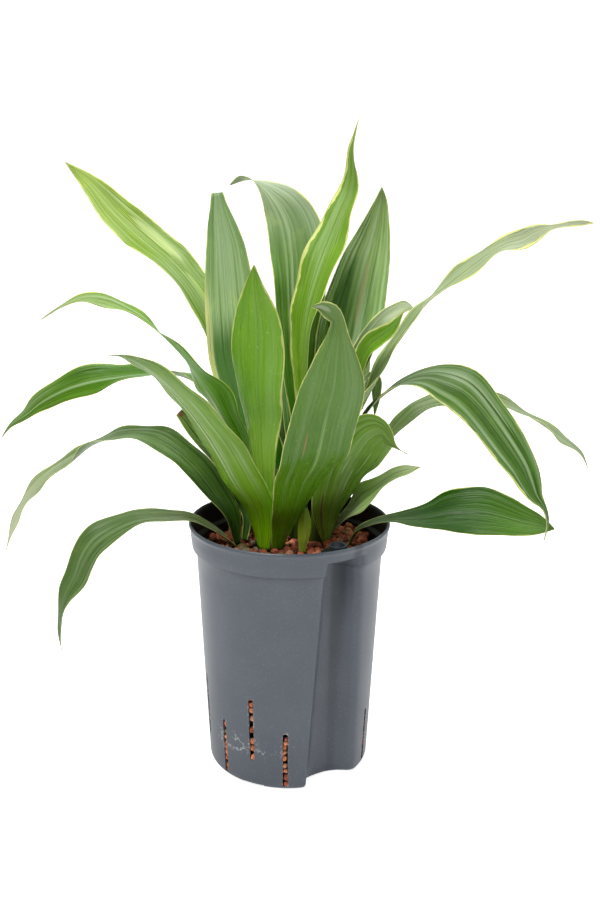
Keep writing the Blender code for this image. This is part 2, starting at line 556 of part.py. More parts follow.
def leaf_stations(leaf):
    """A leaf's stations in space: x, y, z, width and turn, with the foot on its stem first."""
    stem = STEMS[leaf.stem]
    way = outward(leaf.heading)
    left = Vector((-way.y, way.x, 0.0))
    seat = stem_radius(stem, leaf.foot_height) + GAP + BLADE / 2.0
    turn = math.radians(leaf.foot_turn)
    foot = (seat * math.cos(turn), leaf.foot_height, leaf.foot_width, leaf.foot_turn,
            seat * math.sin(turn))
    rows = []
    for station in [foot] + leaf.stations:
        reach, height, width, twist = station[:4]
        drift = station[4] if len(station) > 4 else 0.0
        place = way * reach + left * drift
        rows.append((stem.x + place.x, stem.y + place.y, height, width, twist))
    return rows


def leaf_grid(leaf, across):
    """Points of a leaf's middle surface, foot to tip and edge to edge."""
    rows = leaf_stations(leaf)
    rough = sum(math.dist(a[:3], b[:3]) for a, b in zip(rows[:-1], rows[1:]))
    along = max(6, round(rough / FACE_LENGTH))
    values, run = curve_through(rows, along + 1)
    path, width, turn = values[:, :3], np.maximum(values[:, 3], 1.0), np.radians(values[:, 4])
    ahead = np.gradient(path, run, axis=0)
    ahead /= np.linalg.norm(ahead, axis=1)[:, None]
    way = outward(leaf.heading)
    left = np.array((-way.y, way.x, 0.0))
    side = left - (ahead @ left)[:, None] * ahead
    side /= np.linalg.norm(side, axis=1)[:, None]
    face = np.cross(ahead, side)
    cos, sin = np.cos(turn)[:, None], np.sin(turn)[:, None]
    side, face = cos * side + sin * face, cos * face - sin * side
    share = run / run[-1]
    stem = STEMS[leaf.stem]
    clasp = leaf.foot_width / 2.0 / (stem_radius(stem, leaf.foot_height) + GAP)
    roll = clasp + (math.radians(leaf.cup) - clasp) * smooth(0.0, 0.25, share)
    roll = roll * (1.0 - 0.6 * smooth(0.8, 1.0, share))
    bend = width / 2.0 / np.maximum(roll, 1e-3)
    sink = BLADE_LIFT_SHARE * bend * (1.0 - np.cos(roll)) * smooth(0.1, 0.3, share)
    ripple_share = smooth(0.2, 0.4, share) * (1.0 - smooth(0.85, 1.0, share))
    columns = []
    for v in np.linspace(-1.0, 1.0, across + 1):
        start = 2.0 * leaf.phase + (1.9 if v < 0 else 0.0)
        ripple = leaf.wave * v * v * np.sin(2.0 * np.pi * run / RIPPLE_LENGTH + start)
        sideways = bend * np.sin(roll * v)
        lift = bend * (1.0 - np.cos(roll * v)) - sink + ripple * ripple_share
        columns.append(path + sideways[:, None] * side + lift[:, None] * face)
    return np.stack(columns, axis=1)


def build_leaf(name, leaf, collection, surface):
    """A leaf blade: its middle surface, given the blade's thickness on both sides alike."""
    grid = leaf_grid(leaf, across=4)
    normal = np.cross(np.gradient(grid, axis=0), np.gradient(grid, axis=1))
    normal /= np.maximum(np.linalg.norm(normal, axis=2), 1e-9)[..., None]
    rows, columns = grid.shape[:2]
    bm = bmesh.new()
    skins = []
    for offset in (BLADE / 2.0, -BLADE / 2.0):
        points = grid + normal * offset
        skins.append([[bm.verts.new(p) for p in row] for row in points])
    upper, lower = skins
    for i in range(rows - 1):
        for j in range(columns - 1):
            for skin in skins:
                a, b = skin[i][j], skin[i][j + 1]
                c, d = skin[i + 1][j + 1], skin[i + 1][j]
                bm.faces.new((a, b, c))
                bm.faces.new((a, c, d))
        for j in (0, columns - 1):
            bm.faces.new((upper[i][j], upper[i + 1][j], lower[i + 1][j], lower[i][j]))
    for i in (0, rows - 1):
        for j in range(columns - 1):
            bm.faces.new((upper[i][j], upper[i][j + 1], lower[i][j + 1], lower[i][j]))
    bmesh.ops.transform(bm, matrix=lean(), verts=bm.verts)
    made = add_object(name, mesh_from_bmesh(name, bm), collection, surface)
    shade(made.data, 60.0)
    return made


def main():
    for old in list(bpy.data.objects):
        bpy.data.objects.remove(old, do_unlink=True)
    plant = bpy.data.collections.new("potted_dracaena")
    cutters = bpy.data.collections.new("cutters")
    for collection in (plant, cutters):
        bpy.context.scene.collection.children.link(collection)

    grey_plastic = material("grey_plastic", (0.13, 0.15, 0.17), 0.42)
    fired_clay = material("fired_clay", (0.32, 0.12, 0.06), 0.95)
    stem_green = material("stem_green", (0.16, 0.22, 0.06), 0.55)
    leaf_green = material("leaf_green", (0.12, 0.27, 0.05), 0.38)

    build_pot(plant, cutters, grey_plastic)
    build_clay(plant, cutters, fired_clay)
    for name, stem in STEMS.items():
        build_stem(name, stem, plant, stem_green)
        if stem.spear:
            build_spear(name.replace("stem", "spear"), stem, plant, leaf_green)
    for name, leaf in LEAVES.items():
        build_leaf(name, leaf, plant, leaf_green)


main()
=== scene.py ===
"""The potted dracaena, dressed for its picture.

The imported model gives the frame. Each leaf, stem, the clay and the pot get a finer shape from
the same numbers as in the model's source, and materials made of nodes. Sizes are in
millimetres, and meshes are scaled to metres as they are made. A heading is a compass angle seen
from above: 0 points at the viewer, 90 to the right and 180 away.
"""
import math
import random
from collections import namedtuple

import bmesh
import bpy
import numpy as np
from mathutils import Euler, Matrix, Vector, noise


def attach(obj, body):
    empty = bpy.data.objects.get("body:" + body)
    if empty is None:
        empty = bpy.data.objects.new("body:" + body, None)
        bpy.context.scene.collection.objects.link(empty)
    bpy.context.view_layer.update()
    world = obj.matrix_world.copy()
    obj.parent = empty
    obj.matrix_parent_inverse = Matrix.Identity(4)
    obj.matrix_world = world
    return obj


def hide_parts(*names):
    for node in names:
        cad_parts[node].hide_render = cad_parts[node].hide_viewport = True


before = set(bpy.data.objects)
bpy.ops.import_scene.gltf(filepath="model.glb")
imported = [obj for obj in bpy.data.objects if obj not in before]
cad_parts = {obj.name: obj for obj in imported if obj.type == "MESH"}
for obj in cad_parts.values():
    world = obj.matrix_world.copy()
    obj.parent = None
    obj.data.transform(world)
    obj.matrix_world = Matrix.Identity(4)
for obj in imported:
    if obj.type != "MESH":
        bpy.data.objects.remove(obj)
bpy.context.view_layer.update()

MM = 0.001

# Camera, fitted to the pot's outline, rim and foot in the photograph (600 x 900)
CAMERA_PLACE = (0.0, -0.782, 0.458)
CAMERA_TILT = 74.66             # degrees up from straight down
CAMERA_PAN = -0.542
CAMERA_ROLL = 0.4515
CAMERA_LENS = 44.32
CAMERA_SENSOR = 36.0

# Light: how strong the surroundings are, and the soft lamps with place, size and power
FLOOR_GLOW = 0.3
FLOOR_WHITE = 0.5                # added where the camera sees the floor itself
WORLD_FRONT_TO_BACK = (0.017, 0.065)
WORLD_ABOVE = 0.0375
LIGHTS = (("key", (-0.6, -0.8, 1.6), 0.7, 19.0), ("side", (1.2, -0.3, 0.9), 1.0, 5.0),
          ("top", (0.1, 0.2, 1.7), 0.8, 18.0))
LIGHT_AIM = (0.0, 0.0, 0.25)
WHITE = (1.0, 1.0, 1.0, 1.0)

# Floor, in metres: its front edge, where it bends up behind, the bend, its height and half width
FLOOR_FRONT = -2.5
FLOOR_BACK = 1.2
FLOOR_BEND = 0.8
FLOOR_RISE = 3.0
FLOOR_HALF = 3.5

# Pot, as in the model's source
POT_HEIGHT = 190.0
RIM_RADIUS = 74.8
BODY_TOP_RADIUS = 69.4
BODY_FOOT_RADIUS = 60.8
BAND_FOOT = 171.5
BAND_FOOT_RADIUS = 72.6
BAND_TOP_RADIUS = 73.4
WALL = 1.6
FLOOR = 2.4
FOOT_ROUNDING = 4.0
WALL_COLUMNS = 110
CHANNEL_COLUMNS = 80
CHANNEL_LEFT = (12.2, 20.5)     # headings of the channel's lips, at the foot and at the top
CHANNEL_RIGHT = (54.0, 48.0)
CHANNEL_DEPTH = (15.5, 21.0)
# heading of the channel's deep right corner, where shade is painted into the pot's colour
CHANNEL_CORNER = 41.0
CHANNEL_PLAN = ((-1.04, 0.0), (-1.015, 0.008), (-0.995, 0.05), (-0.97, 0.2), (-0.91, 0.44),
                (-0.83, 0.66), (-0.72, 0.8), (-0.56, 0.9), (-0.36, 0.97), (-0.1, 1.0),
                (0.15, 0.98), (0.39, 0.86), (0.6, 0.67), (0.76, 0.42), (0.885, 0.17),
                (1.0, 0.04), (1.15, 0.0))
SHELF_HEIGHT = 181.0
GUIDE_HEADING = 37.1
GUIDE_REACH = 57.0
GUIDE_RADIUS = 6.6
GUIDE_BORE = 5.0
GUIDE_TOP = 186.5
GUIDE_SIDES = 40
# Heights of the rings that the wall runs through, and radius and height where it isn't straight
BODY_LEVELS = (20.0, 45.0, 70.0, 90.0, 112.0, 135.0, 155.0, BAND_FOOT - 0.9)
BAND_OUTSIDE = ((BODY_TOP_RADIUS + 0.3, BAND_FOOT - 0.3), (BODY_TOP_RADIUS + 1.0, BAND_FOOT),
                (BAND_FOOT_RADIUS - 0.7, BAND_FOOT), (BAND_FOOT_RADIUS - 0.2, BAND_FOOT + 0.25),
                (BAND_FOOT_RADIUS, BAND_FOOT + 0.8), (BAND_TOP_RADIUS, SHELF_HEIGHT - 0.6))
LIP_OUTSIDE = ((BAND_TOP_RADIUS, SHELF_HEIGHT + 0.2), (RIM_RADIUS - 1.1, 185.6),
               (RIM_RADIUS - 0.8, 186.7), (RIM_RADIUS - 0.2, 187.4), (RIM_RADIUS, 188.4),
               (RIM_RADIUS - 0.15, 189.3), (RIM_RADIUS - 0.6, 189.85),
               (RIM_RADIUS - 1.2, POT_HEIGHT))
LIP_INSIDE = ((RIM_RADIUS - 1.8, 189.8), (RIM_RADIUS - 2.3, 189.2), (RIM_RADIUS - 2.6, 188.0),
              (RIM_RADIUS - 3.2, SHELF_HEIGHT + 3.4))
BAND_INSIDE = ((BAND_TOP_RADIUS - WALL, SHELF_HEIGHT + 2.4),
               (BAND_FOOT_RADIUS - WALL, BAND_FOOT + 2.2))
INNER_LEVELS = (BAND_FOOT + 0.6, 135.0, 90.0, 45.0, FLOOR + 3.0)
FLOOR_INSET = 2.6
SLOT_WIDTH = 3.7
SLOT_LOW = (3.2, 47.3)
SLOT_HIGH = (22.3, 72.6)
SLOT_HEADINGS = (67.5, 91.8, 116.2, 140.5, 164.8, 189.2, 213.5, 237.8, 262.2, 285.8, 311.0,
                 334.6, 358.0)
SLOTS = [(heading, *(SLOT_HIGH if i % 2 else SLOT_LOW)) for i, heading in enumerate(SLOT_HEADINGS)]
SLOT_CUT_START = 54.0           # from the pot's axis
SLOT_CUT_LENGTH = 22.0
ARCH_WIDTH = 17.0
ARCH_HEIGHT = 2.0
ARCH_DEPTH = 16.0
POT_SHARP = math.radians(38.0)  # edges that are turned by more than this stay sharp

PLANT_LEAN = -0.46              # degrees to the right that the plant leans, about a low point
LEAN_HEIGHT = 170.9

# Clay
CLAY_TOP = 166.5
BED_TOP = 163.0                 # the dark bed that the loose granules lie on
GRANULES_ACROSS_TOP = 480
GRANULE_RADII = (2.4, 3.8)
SLOT_GRANULE_RADII = (1.9, 3.0)
GRANULE_TRIES = 60000
GRANULE_REACH = 67.0            # how far from the pot's axis a granule on top may lie
WALL_CLEARANCE = 0.4
STEM_CLEARANCE = 0.6
GRANULE_NESTING = 0.74          # how near two granules' middles lie, as a share of their radii
LAYER_RISE = 2.2
GRANULE_LUMPS = ((0.3, 1.1), (0.16, 2.6))   # share of the radius, and how fine
GRANULE_SQUEEZE = ((0.8, 1.1), (0.75, 1.05), (0.7, 1.0))
BED_LEVELS = ((FLOOR + 0.4, 4.0), (60.0, 4.5), (120.0, 4.5), (BED_TOP, 2.0))    # height, inset
GAP_SHARE = 0.3                 # share of the granules behind a slot with a dark gap above
CLAY_COLOURS = ((176, 96, 62), (156, 82, 52), (194, 122, 88), (130, 68, 46), (164, 114, 88),
                (128, 108, 86))
SLOT_CLAY = ((206, 118, 74), (184, 98, 58), (222, 140, 96), (160, 84, 52), (196, 140, 104),
             (150, 120, 86))
CLAY_SHARES = (5, 4, 3, 3, 2, 1)
CLAY_SHADOW = (52, 34, 26)
CLAY_PALE_TINT = (1.5, 1.5, 1.55, 1.0)
CLAY_DARK_TINT = (0.4, 0.38, 0.38, 1.0)

# Plastic and lime colours
POT_GREY_LOW = (82, 89, 99)
POT_GREY_HIGH = (86, 93, 103)
POT_SPECK = (122, 128, 132)
POT_DUST = (168, 172, 174)
# painted shade: the dark for the channel's corner and for the shadow under the band
POT_PAINTED_SHADE = (30, 34, 40)
POT_BLACK_LOW = (13, 14, 17)
POT_BLACK_HIGH = (26, 28, 33)
GUIDE_LOW = (34, 39, 46)
GUIDE_HIGH = (60, 67, 76)
LIME = (186, 190, 186)

# Leaves
STEM_GAP = 0.3
CAD_BLADE = 0.8
BLADE = 0.5
BLADE_LIFT_SHARE = 0.55
LEAST_WIDTH = 0.6
KEEL_DEPTH = 0.35               # the groove along the midrib, and half its width
KEEL_REACH = 2.5
RIPPLE_LENGTH = 45.0
RIPPLE_SHIFT = 1.9              # how far the right edge's ripple is ahead of the left one's
ROWS = 72
COLUMNS = 18
CURVE_STEPS = 12
UV_LENGTH = 100.0               # mm that one unit of the lengthwise UV layer stands for
UV_EDGE = 10.0                  # mm that one unit of the edge's UV layer stands for

# Stems
BARK_SHARP = math.radians(50.0)
STEM_IN_BED = 8.0
STEM_SIDES = 24
STEM_RINGS = 26
SHOOT_RISE = 4.5                # how far a side shoot stands out of the clay
BARK_LENGTHWISE = 14.0          # how fine the sheaths' streaks are, along a stem and round it
BARK_CROSSWISE = 420.0
SPEAR_SIDES = 20
SPEAR_RINGS = 15
SHEATH_GREENS = ((52, 84, 16), (84, 112, 34))
HUSK_BROWNS = ((96, 84, 40), (122, 92, 56))
DRY_SHEATH = (120, 84, 48)

# A stem: where its axis is, its radius in the clay, its top's height and radius, and the height
# that its rolled youngest leaf reaches
Stem = namedtuple("Stem", "x y radius top top_radius spear")
STEMS = {
    "stem_left": Stem(-14, 3, 9.0, 222, 6.0, 262),
    "stem_back": Stem(6, 30, 9.0, 246, 5.5, 266),
    "stem_right": Stem(23, 17, 7.5, 240, 5.0, 284),
    "shoot_left": Stem(-35, 0, 5.0, 177, 4.0, None),
    "shoot_right": Stem(40, 2, 4.5, 174, 3.5, None),
    "shoot_front": Stem(8.6, -9, 3.0, 176, 2.5, None),
}

# A leaf, by its name without "leaf_": its stem, its heading, where its foot sits on the stem, and
# the stations that its midrib passes through. cup is half the angle that the blade is rolled
# through from edge to edge, wave the height of its edge ripple and phase where it starts.
# A station is (reach from the stem's axis, height, blade width, turn[, drift to the left]).
# The turn is about the midrib, in degrees, and raises the edge on the left of the heading.
Leaf = namedtuple("Leaf", "stem heading foot_turn foot_height foot_width cup wave phase stations")
LEAVES = {
    "front_left": Leaf("stem_left", -45, 0, 167, 14, 22, 1.0, 0.4, [
        (14, 198, 30, 12), (25, 219, 37, 15), (51, 261, 38, 10), (74, 289, 34, 6),
        (92, 307, 27, 8), (109, 320, 18, 15), (126, 329, 9, 20), (141, 332, 1.2, 10)]),
    "front_broad": Leaf("stem_left", 25, 20, 167, 14, 16, 1.2, 1.0, [
        (22, 198, 33, 14, 7), (41, 228, 43, 4, 6), (68, 253, 47, -9, 3), (89, 286, 44, -24),
        (102, 311, 40, -30), (105, 329, 28, -25), (107, 344, 14, -20), (106, 353, 9, -20),
        (105.5, 358, 11, -25, -4), (105, 361.5, 8, -25, -10), (104, 362, 1.2, -25, -17)]),
    "front_upright": Leaf("stem_left", -20, 0, 200, 10, 24, 0.6, 2.0, [
        (15, 236, 21, -15), (17, 270, 33, -14), (22, 297, 38, -5), (23, 321, 39, 10),
        (24, 342, 33, 18), (27, 357, 22, 18), (28, 368, 12, 18), (27, 380, 1.2, 15)]),
    "cut_tip": Leaf("stem_left", -95, -25, 176, 8, 24, 0.5, 0.0, [
        (17, 199, 13, -12, -9), (29, 217, 19, -18, -9), (42, 239, 19, -24, -4), (54, 255, 17, -35),
        (63, 266, 10, -50), (67, 270, 7, -55)]),
    "left_middle": Leaf("stem_left", -70, -25, 186, 9, 18, 1.6, 2.6, [
        (14, 220, 15, 30, -9), (20, 248, 20, 34, -10), (32, 272, 27, 30, -6), (43, 291, 32, 28),
        (54, 306, 32, 12), (64, 319, 29, 0), (79, 335, 24, -2), (97, 349, 20, -14),
        (116, 358, 17, -30), (130, 360, 12, -14), (146, 355, 7, -8), (159, 347.5, 1.2, -10)]),
    "left_far": Leaf("stem_back", -100, 0, 188, 11, 18, 1.5, 0.7, [
        (20, 211, 13, -18, 6), (40, 241, 20, -6, 7), (60, 273, 30, 6, 2), (86, 290, 31, 10),
        (112, 292, 30, 0), (142, 288, 30, -26), (157, 285, 29, -42), (174, 280, 26, -58),
        (190, 273, 21, -62), (205, 264, 16, -62), (217, 254, 12, -50), (229, 246, 7, -38),
        (238, 235, 1.2, -35)]),
    "left_arch": Leaf("shoot_left", -112, -15, 168, 6, 20, 1.5, 2.2, [
        (10, 192, 22, -4), (23, 209, 29, -8), (36, 225, 34, -8), (49, 236, 32, -9),
        (69, 246, 32, -12), (91, 248, 34, -5), (126, 237, 34, -4), (147, 221, 31, -18),
        (168, 207, 27, -28), (191, 184, 20, -42), (202, 167, 15, -46), (210, 149, 9, -46),
        (215, 136, 1.2, -40)]),
    "left_rim": Leaf("shoot_left", -80, 25, 168, 6, 18, 1.3, 1.4, [
        (14, 177, 11, 2), (29, 188, 17, -2), (38, 193, 22, 0), (48, 195, 28, 2),
        (70, 196, 32, 0), (82, 194, 32, -10), (98, 187, 32, -17), (110, 178, 31, -30),
        (118, 166, 27, -42), (124, 152, 22, -42), (131, 140, 17, -36), (136, 126, 12, -28),
        (138, 112, 7, -20), (137, 95, 1.2, -15)]),
    "left_high": Leaf("stem_back", -128, 0, 194, 11, 24, 1.0, 0.2, [
        (20, 224, 12, -20, -4), (44, 260, 22, -14, -2), (68, 298, 27, -8), (90, 340, 33, -12),
        (121, 369, 35, -12), (143, 381, 34, -26), (167, 394, 31, -42), (191, 409, 27, -50),
        (215, 427, 17, -52), (246, 445, 1.2, -50)]),
    "upright_left": Leaf("stem_back", -112, 0, 208, 11, 20, 0.8, 1.1, [
        (22, 234, 22, -25), (38, 263, 33, -38), (50, 297, 40, -52), (53, 328, 40, -58),
        (55, 358, 37, -58), (57, 385, 30, -60), (60, 403, 21, -60), (62, 416, 13, -60),
        (63, 425, 9, -60)]),
    "back_hook": Leaf("stem_back", -155, -5, 226, 7, 22, 0.8, 0.9, [
        (15, 250, 12, -15, -8), (22, 286, 24, -10, -11), (26, 322, 33, -5, -13),
        (32, 355, 45, 0, -17), (39, 379.5, 46, -5, -19), (47, 402, 43, -12, -18),
        (54, 416.5, 33, -15, -12), (64, 428, 17, 0, -3), (71, 433, 12, 20, 3),
        (79, 434, 7, 25, 10), (85, 429, 1.2, 20, 17)]),
    "tallest": Leaf("stem_back", 140, 0, 230, 7, 22, 1.0, 2.4, [
        (8, 252, 13, -20), (6, 285, 27, -28), (4, 312, 37, -28), (8, 334, 40, -24),
        (16, 354, 40, -16), (28, 375, 39, -5), (40, 393, 33, 2), (50, 409, 28, -4),
        (60, 424, 23, -8), (64, 437, 19, -16), (64, 449, 14, -24), (65, 459, 10, -32),
        (68, 467, 6, -36), (72, 476, 3, -34), (78, 482, 1.2, -34)]),
    "back_broad": Leaf("stem_right", 150, 0, 196, 9, 22, 0.8, 0.5, [
        (12, 225, 12, -18, 2), (20, 252, 22, -16, 4), (30, 281, 37, -8, 2),
        (43, 308, 49, 6, 2), (55, 333, 50, 16, 2), (65, 355, 44, 24, 1), (75, 375, 37, 26),
        (85, 390, 28, 26), (93, 405, 18, 26), (98, 417, 10, 26), (99, 427, 1.2, 26)]),
    "right_high": Leaf("stem_right", 77, 0, 212, 8, 16, 1.4, 0.3, [
        (17, 240, 11, 20), (25, 262, 18, 16), (34, 281, 25, 15), (42, 299, 32, 15),
        (51, 317, 34, 14), (60, 330, 33, 13), (69, 343, 33, 8), (77, 353, 32, 2),
        (86, 361, 30, 11), (105, 376, 25, 24), (127, 392, 19, 30), (140, 396, 18, 42),
        (151, 402, 14, 48), (161, 405, 10, 24), (181, 408, 5, 40), (187, 408, 1.2, 40)]),
    "right_short": Leaf("stem_right", 60, 0, 218, 7, 26, 0.6, 1.5, [
        (13, 248, 9, 40, 5), (22, 284, 17, 46, 4), (30, 304, 25, 48, 1), (38, 320, 22, 52),
        (48, 328, 16, 62), (58, 336, 10, 66), (66, 348, 1.2, 60)]),
    "right_pale": Leaf("stem_right", 125, 0, 224, 7, 24, 0.6, 0.2, [
        (14, 252, 9, 10), (28, 296, 12, 25), (46, 321, 13, 35), (60, 333, 12, 45),
        (73, 338, 11, 45), (82, 340, 9, 50), (92, 335, 1.5, 50)]),
    "hanging_tip": Leaf("stem_right", 106, -18, 206, 5, 24, 0.5, 0.4, [
        (14, 230, 8, 0, 0), (23, 256, 9, -5, 3), (32, 280, 11, -15, 4.5), (39, 293, 15, -20, 3),
        (43, 291, 14, -20), (44, 278, 10, -20), (43, 263, 1.5, -20)]),
    "young_narrow": Leaf("stem_right", 40, 0, 226, 6, 30, 0.3, 0.4, [
        (16, 247, 8, 10), (27, 264, 10, 10), (43, 282, 11, 10), (53, 294, 8, 10),
        (60, 303, 1.5, 10)]),
    "right_arch": Leaf("stem_right", 66, 0, 196, 9, 14, 1.0, 1.9, [
        (14, 215, 12, 25), (20, 232, 15, 26), (29, 257, 17, 22), (39, 275, 17, 15),
        (53, 289, 19, 8), (64, 296, 26, 4), (74, 300, 34, 8), (84, 301, 40, 16),
        (96, 298, 42, 28), (108, 293, 41, 33), (118, 285, 38, 34), (136, 264, 31, 43),
        (152, 243, 24, 48), (158, 231, 18, 52), (163, 222, 12, 30), (168, 217, 9, 5),
        (171, 211, 7, 8), (172, 205, 5, 12), (170, 191, 1.2, 12)]),
    "right_behind": Leaf("stem_right", 100, 0, 180, 9, 18, 1.5, 0.6, [
        (14, 200, 13, 4), (27, 217, 20, 0), (41, 234, 26, -4), (56, 250, 30, -4),
        (66, 261, 30, -2), (75, 268, 30, 4), (90, 272, 30, 7), (111, 273, 30, 9),
        (136, 271, 27, 12), (153, 265, 23, 10), (180, 248, 16, 14), (192, 239, 13, 30),
        (203, 231, 9, 36), (210, 224, 6, 36), (216, 212, 1.2, 30)]),
    "scarred": Leaf("stem_right", 45, 0, 168, 9, 26, 1.2, 0.0, [
        (12, 197, 34, -10), (22, 222, 42, -25), (36, 243, 42, -45), (50, 259, 38, -58),
        (60, 264, 30, -62), (67, 260, 22, -60), (74, 255, 12, -40), (83, 252, 3, -20)]),
    "right_low": Leaf("stem_right", 80, 40, 172, 6, 24, 0.9, 1.2, [
        (20, 187, 14, 20, 7), (31, 201, 27, 30, 2), (38, 208, 28, 22), (47, 216, 25, 14),
        (56, 222, 19, 18), (66, 226, 12, 18), (75, 229, 1.2, 18)]),
    "right_rim": Leaf("shoot_right", 75, 0, 167, 8, 18, 0.9, 0.8, [
        (11, 180, 12, 2), (21, 187, 15, 2), (31, 191.5, 17, 2), (42, 194, 21, 4),
        (53, 195.5, 27, 14), (66, 198, 33, 26), (78, 201.5, 36, 38), (91, 203.5, 36, 52),
        (103, 204, 37, 58), (117, 202, 31, 60), (131, 199, 23, 60), (144, 197, 14, 60),
        (154, 195, 1.2, 60)]),
    "bud_sheath": Leaf("shoot_front", 30, 0, 168, 6, 50, 0.0, 0.0, [
        (5, 185, 11, -20), (6, 195, 9, -25), (7, 204, 2, -25)]),
    "rear_middle": Leaf("stem_back", 180, 0, 178, 12, 20, 1.4, 0.3, [
        (18, 212, 14, 5), (38, 258, 24, 10), (70, 300, 34, 5), (110, 321, 40, -5),
        (150, 316, 36, -10), (188, 290, 28, -5), (213, 258, 18, 5), (230, 222, 1.2, 10)]),
    "rear_left": Leaf("stem_back", -160, 0, 171, 12, 20, 1.4, 1.3, [
        (18, 199, 16, -5), (34, 238, 26, -10), (64, 271, 34, -12), (104, 284, 38, -8),
        (144, 274, 34, 0), (177, 248, 26, 5), (198, 218, 16, 5), (211, 188, 1.2, 5)]),
    "rear_right": Leaf("stem_right", 166, 0, 174, 10, 20, 1.4, 2.3, [
        (16, 204, 12, 5), (30, 241, 20, 10), (55, 276, 35, 12), (90, 297, 35, 8),
        (125, 294, 30, 0), (150, 276, 22, -5), (166, 253, 13, -5), (175, 230, 1.2, -5)]),
    "rear_low": Leaf("stem_left", -170, 0, 171, 11, 20, 1.3, 0.9, [
        (17, 184, 14, -8), (33, 197, 19, -10), (62, 212, 28, -12), (98, 215, 29, -15),
        (130, 207, 23, -10), (150, 189, 14, -5), (162, 168, 1.2, 0)]),
    "rear_side": Leaf("shoot_left", -150, -45, 172, 5, 20, 1.0, 0.4, [
        (10, 188, 8, -5, -9), (26, 206, 16, -8, -7), (50, 217, 23, -10), (70, 215, 16, -8),
        (84, 208, 1.2, -5)]),
}

# How each leaf is coloured, in sRGB from 0 to 255: both sides near the foot and at the middle,
# the upper side's tip and the underside's tip, the widths in mm of the pale margins left and
# right of its heading, how strong its dark stripes are, how strong its painted sheen is (pale
# streaks in the colour that stand in for light on its glossy skin), how many pale dots it has,
# and its own marks.
Look = namedtuple("Look", "foot middle tip under margins stripes sheen dots marks",
                  defaults=((0.5, 0.5), 0.6, 0.5, 0.0, ()))
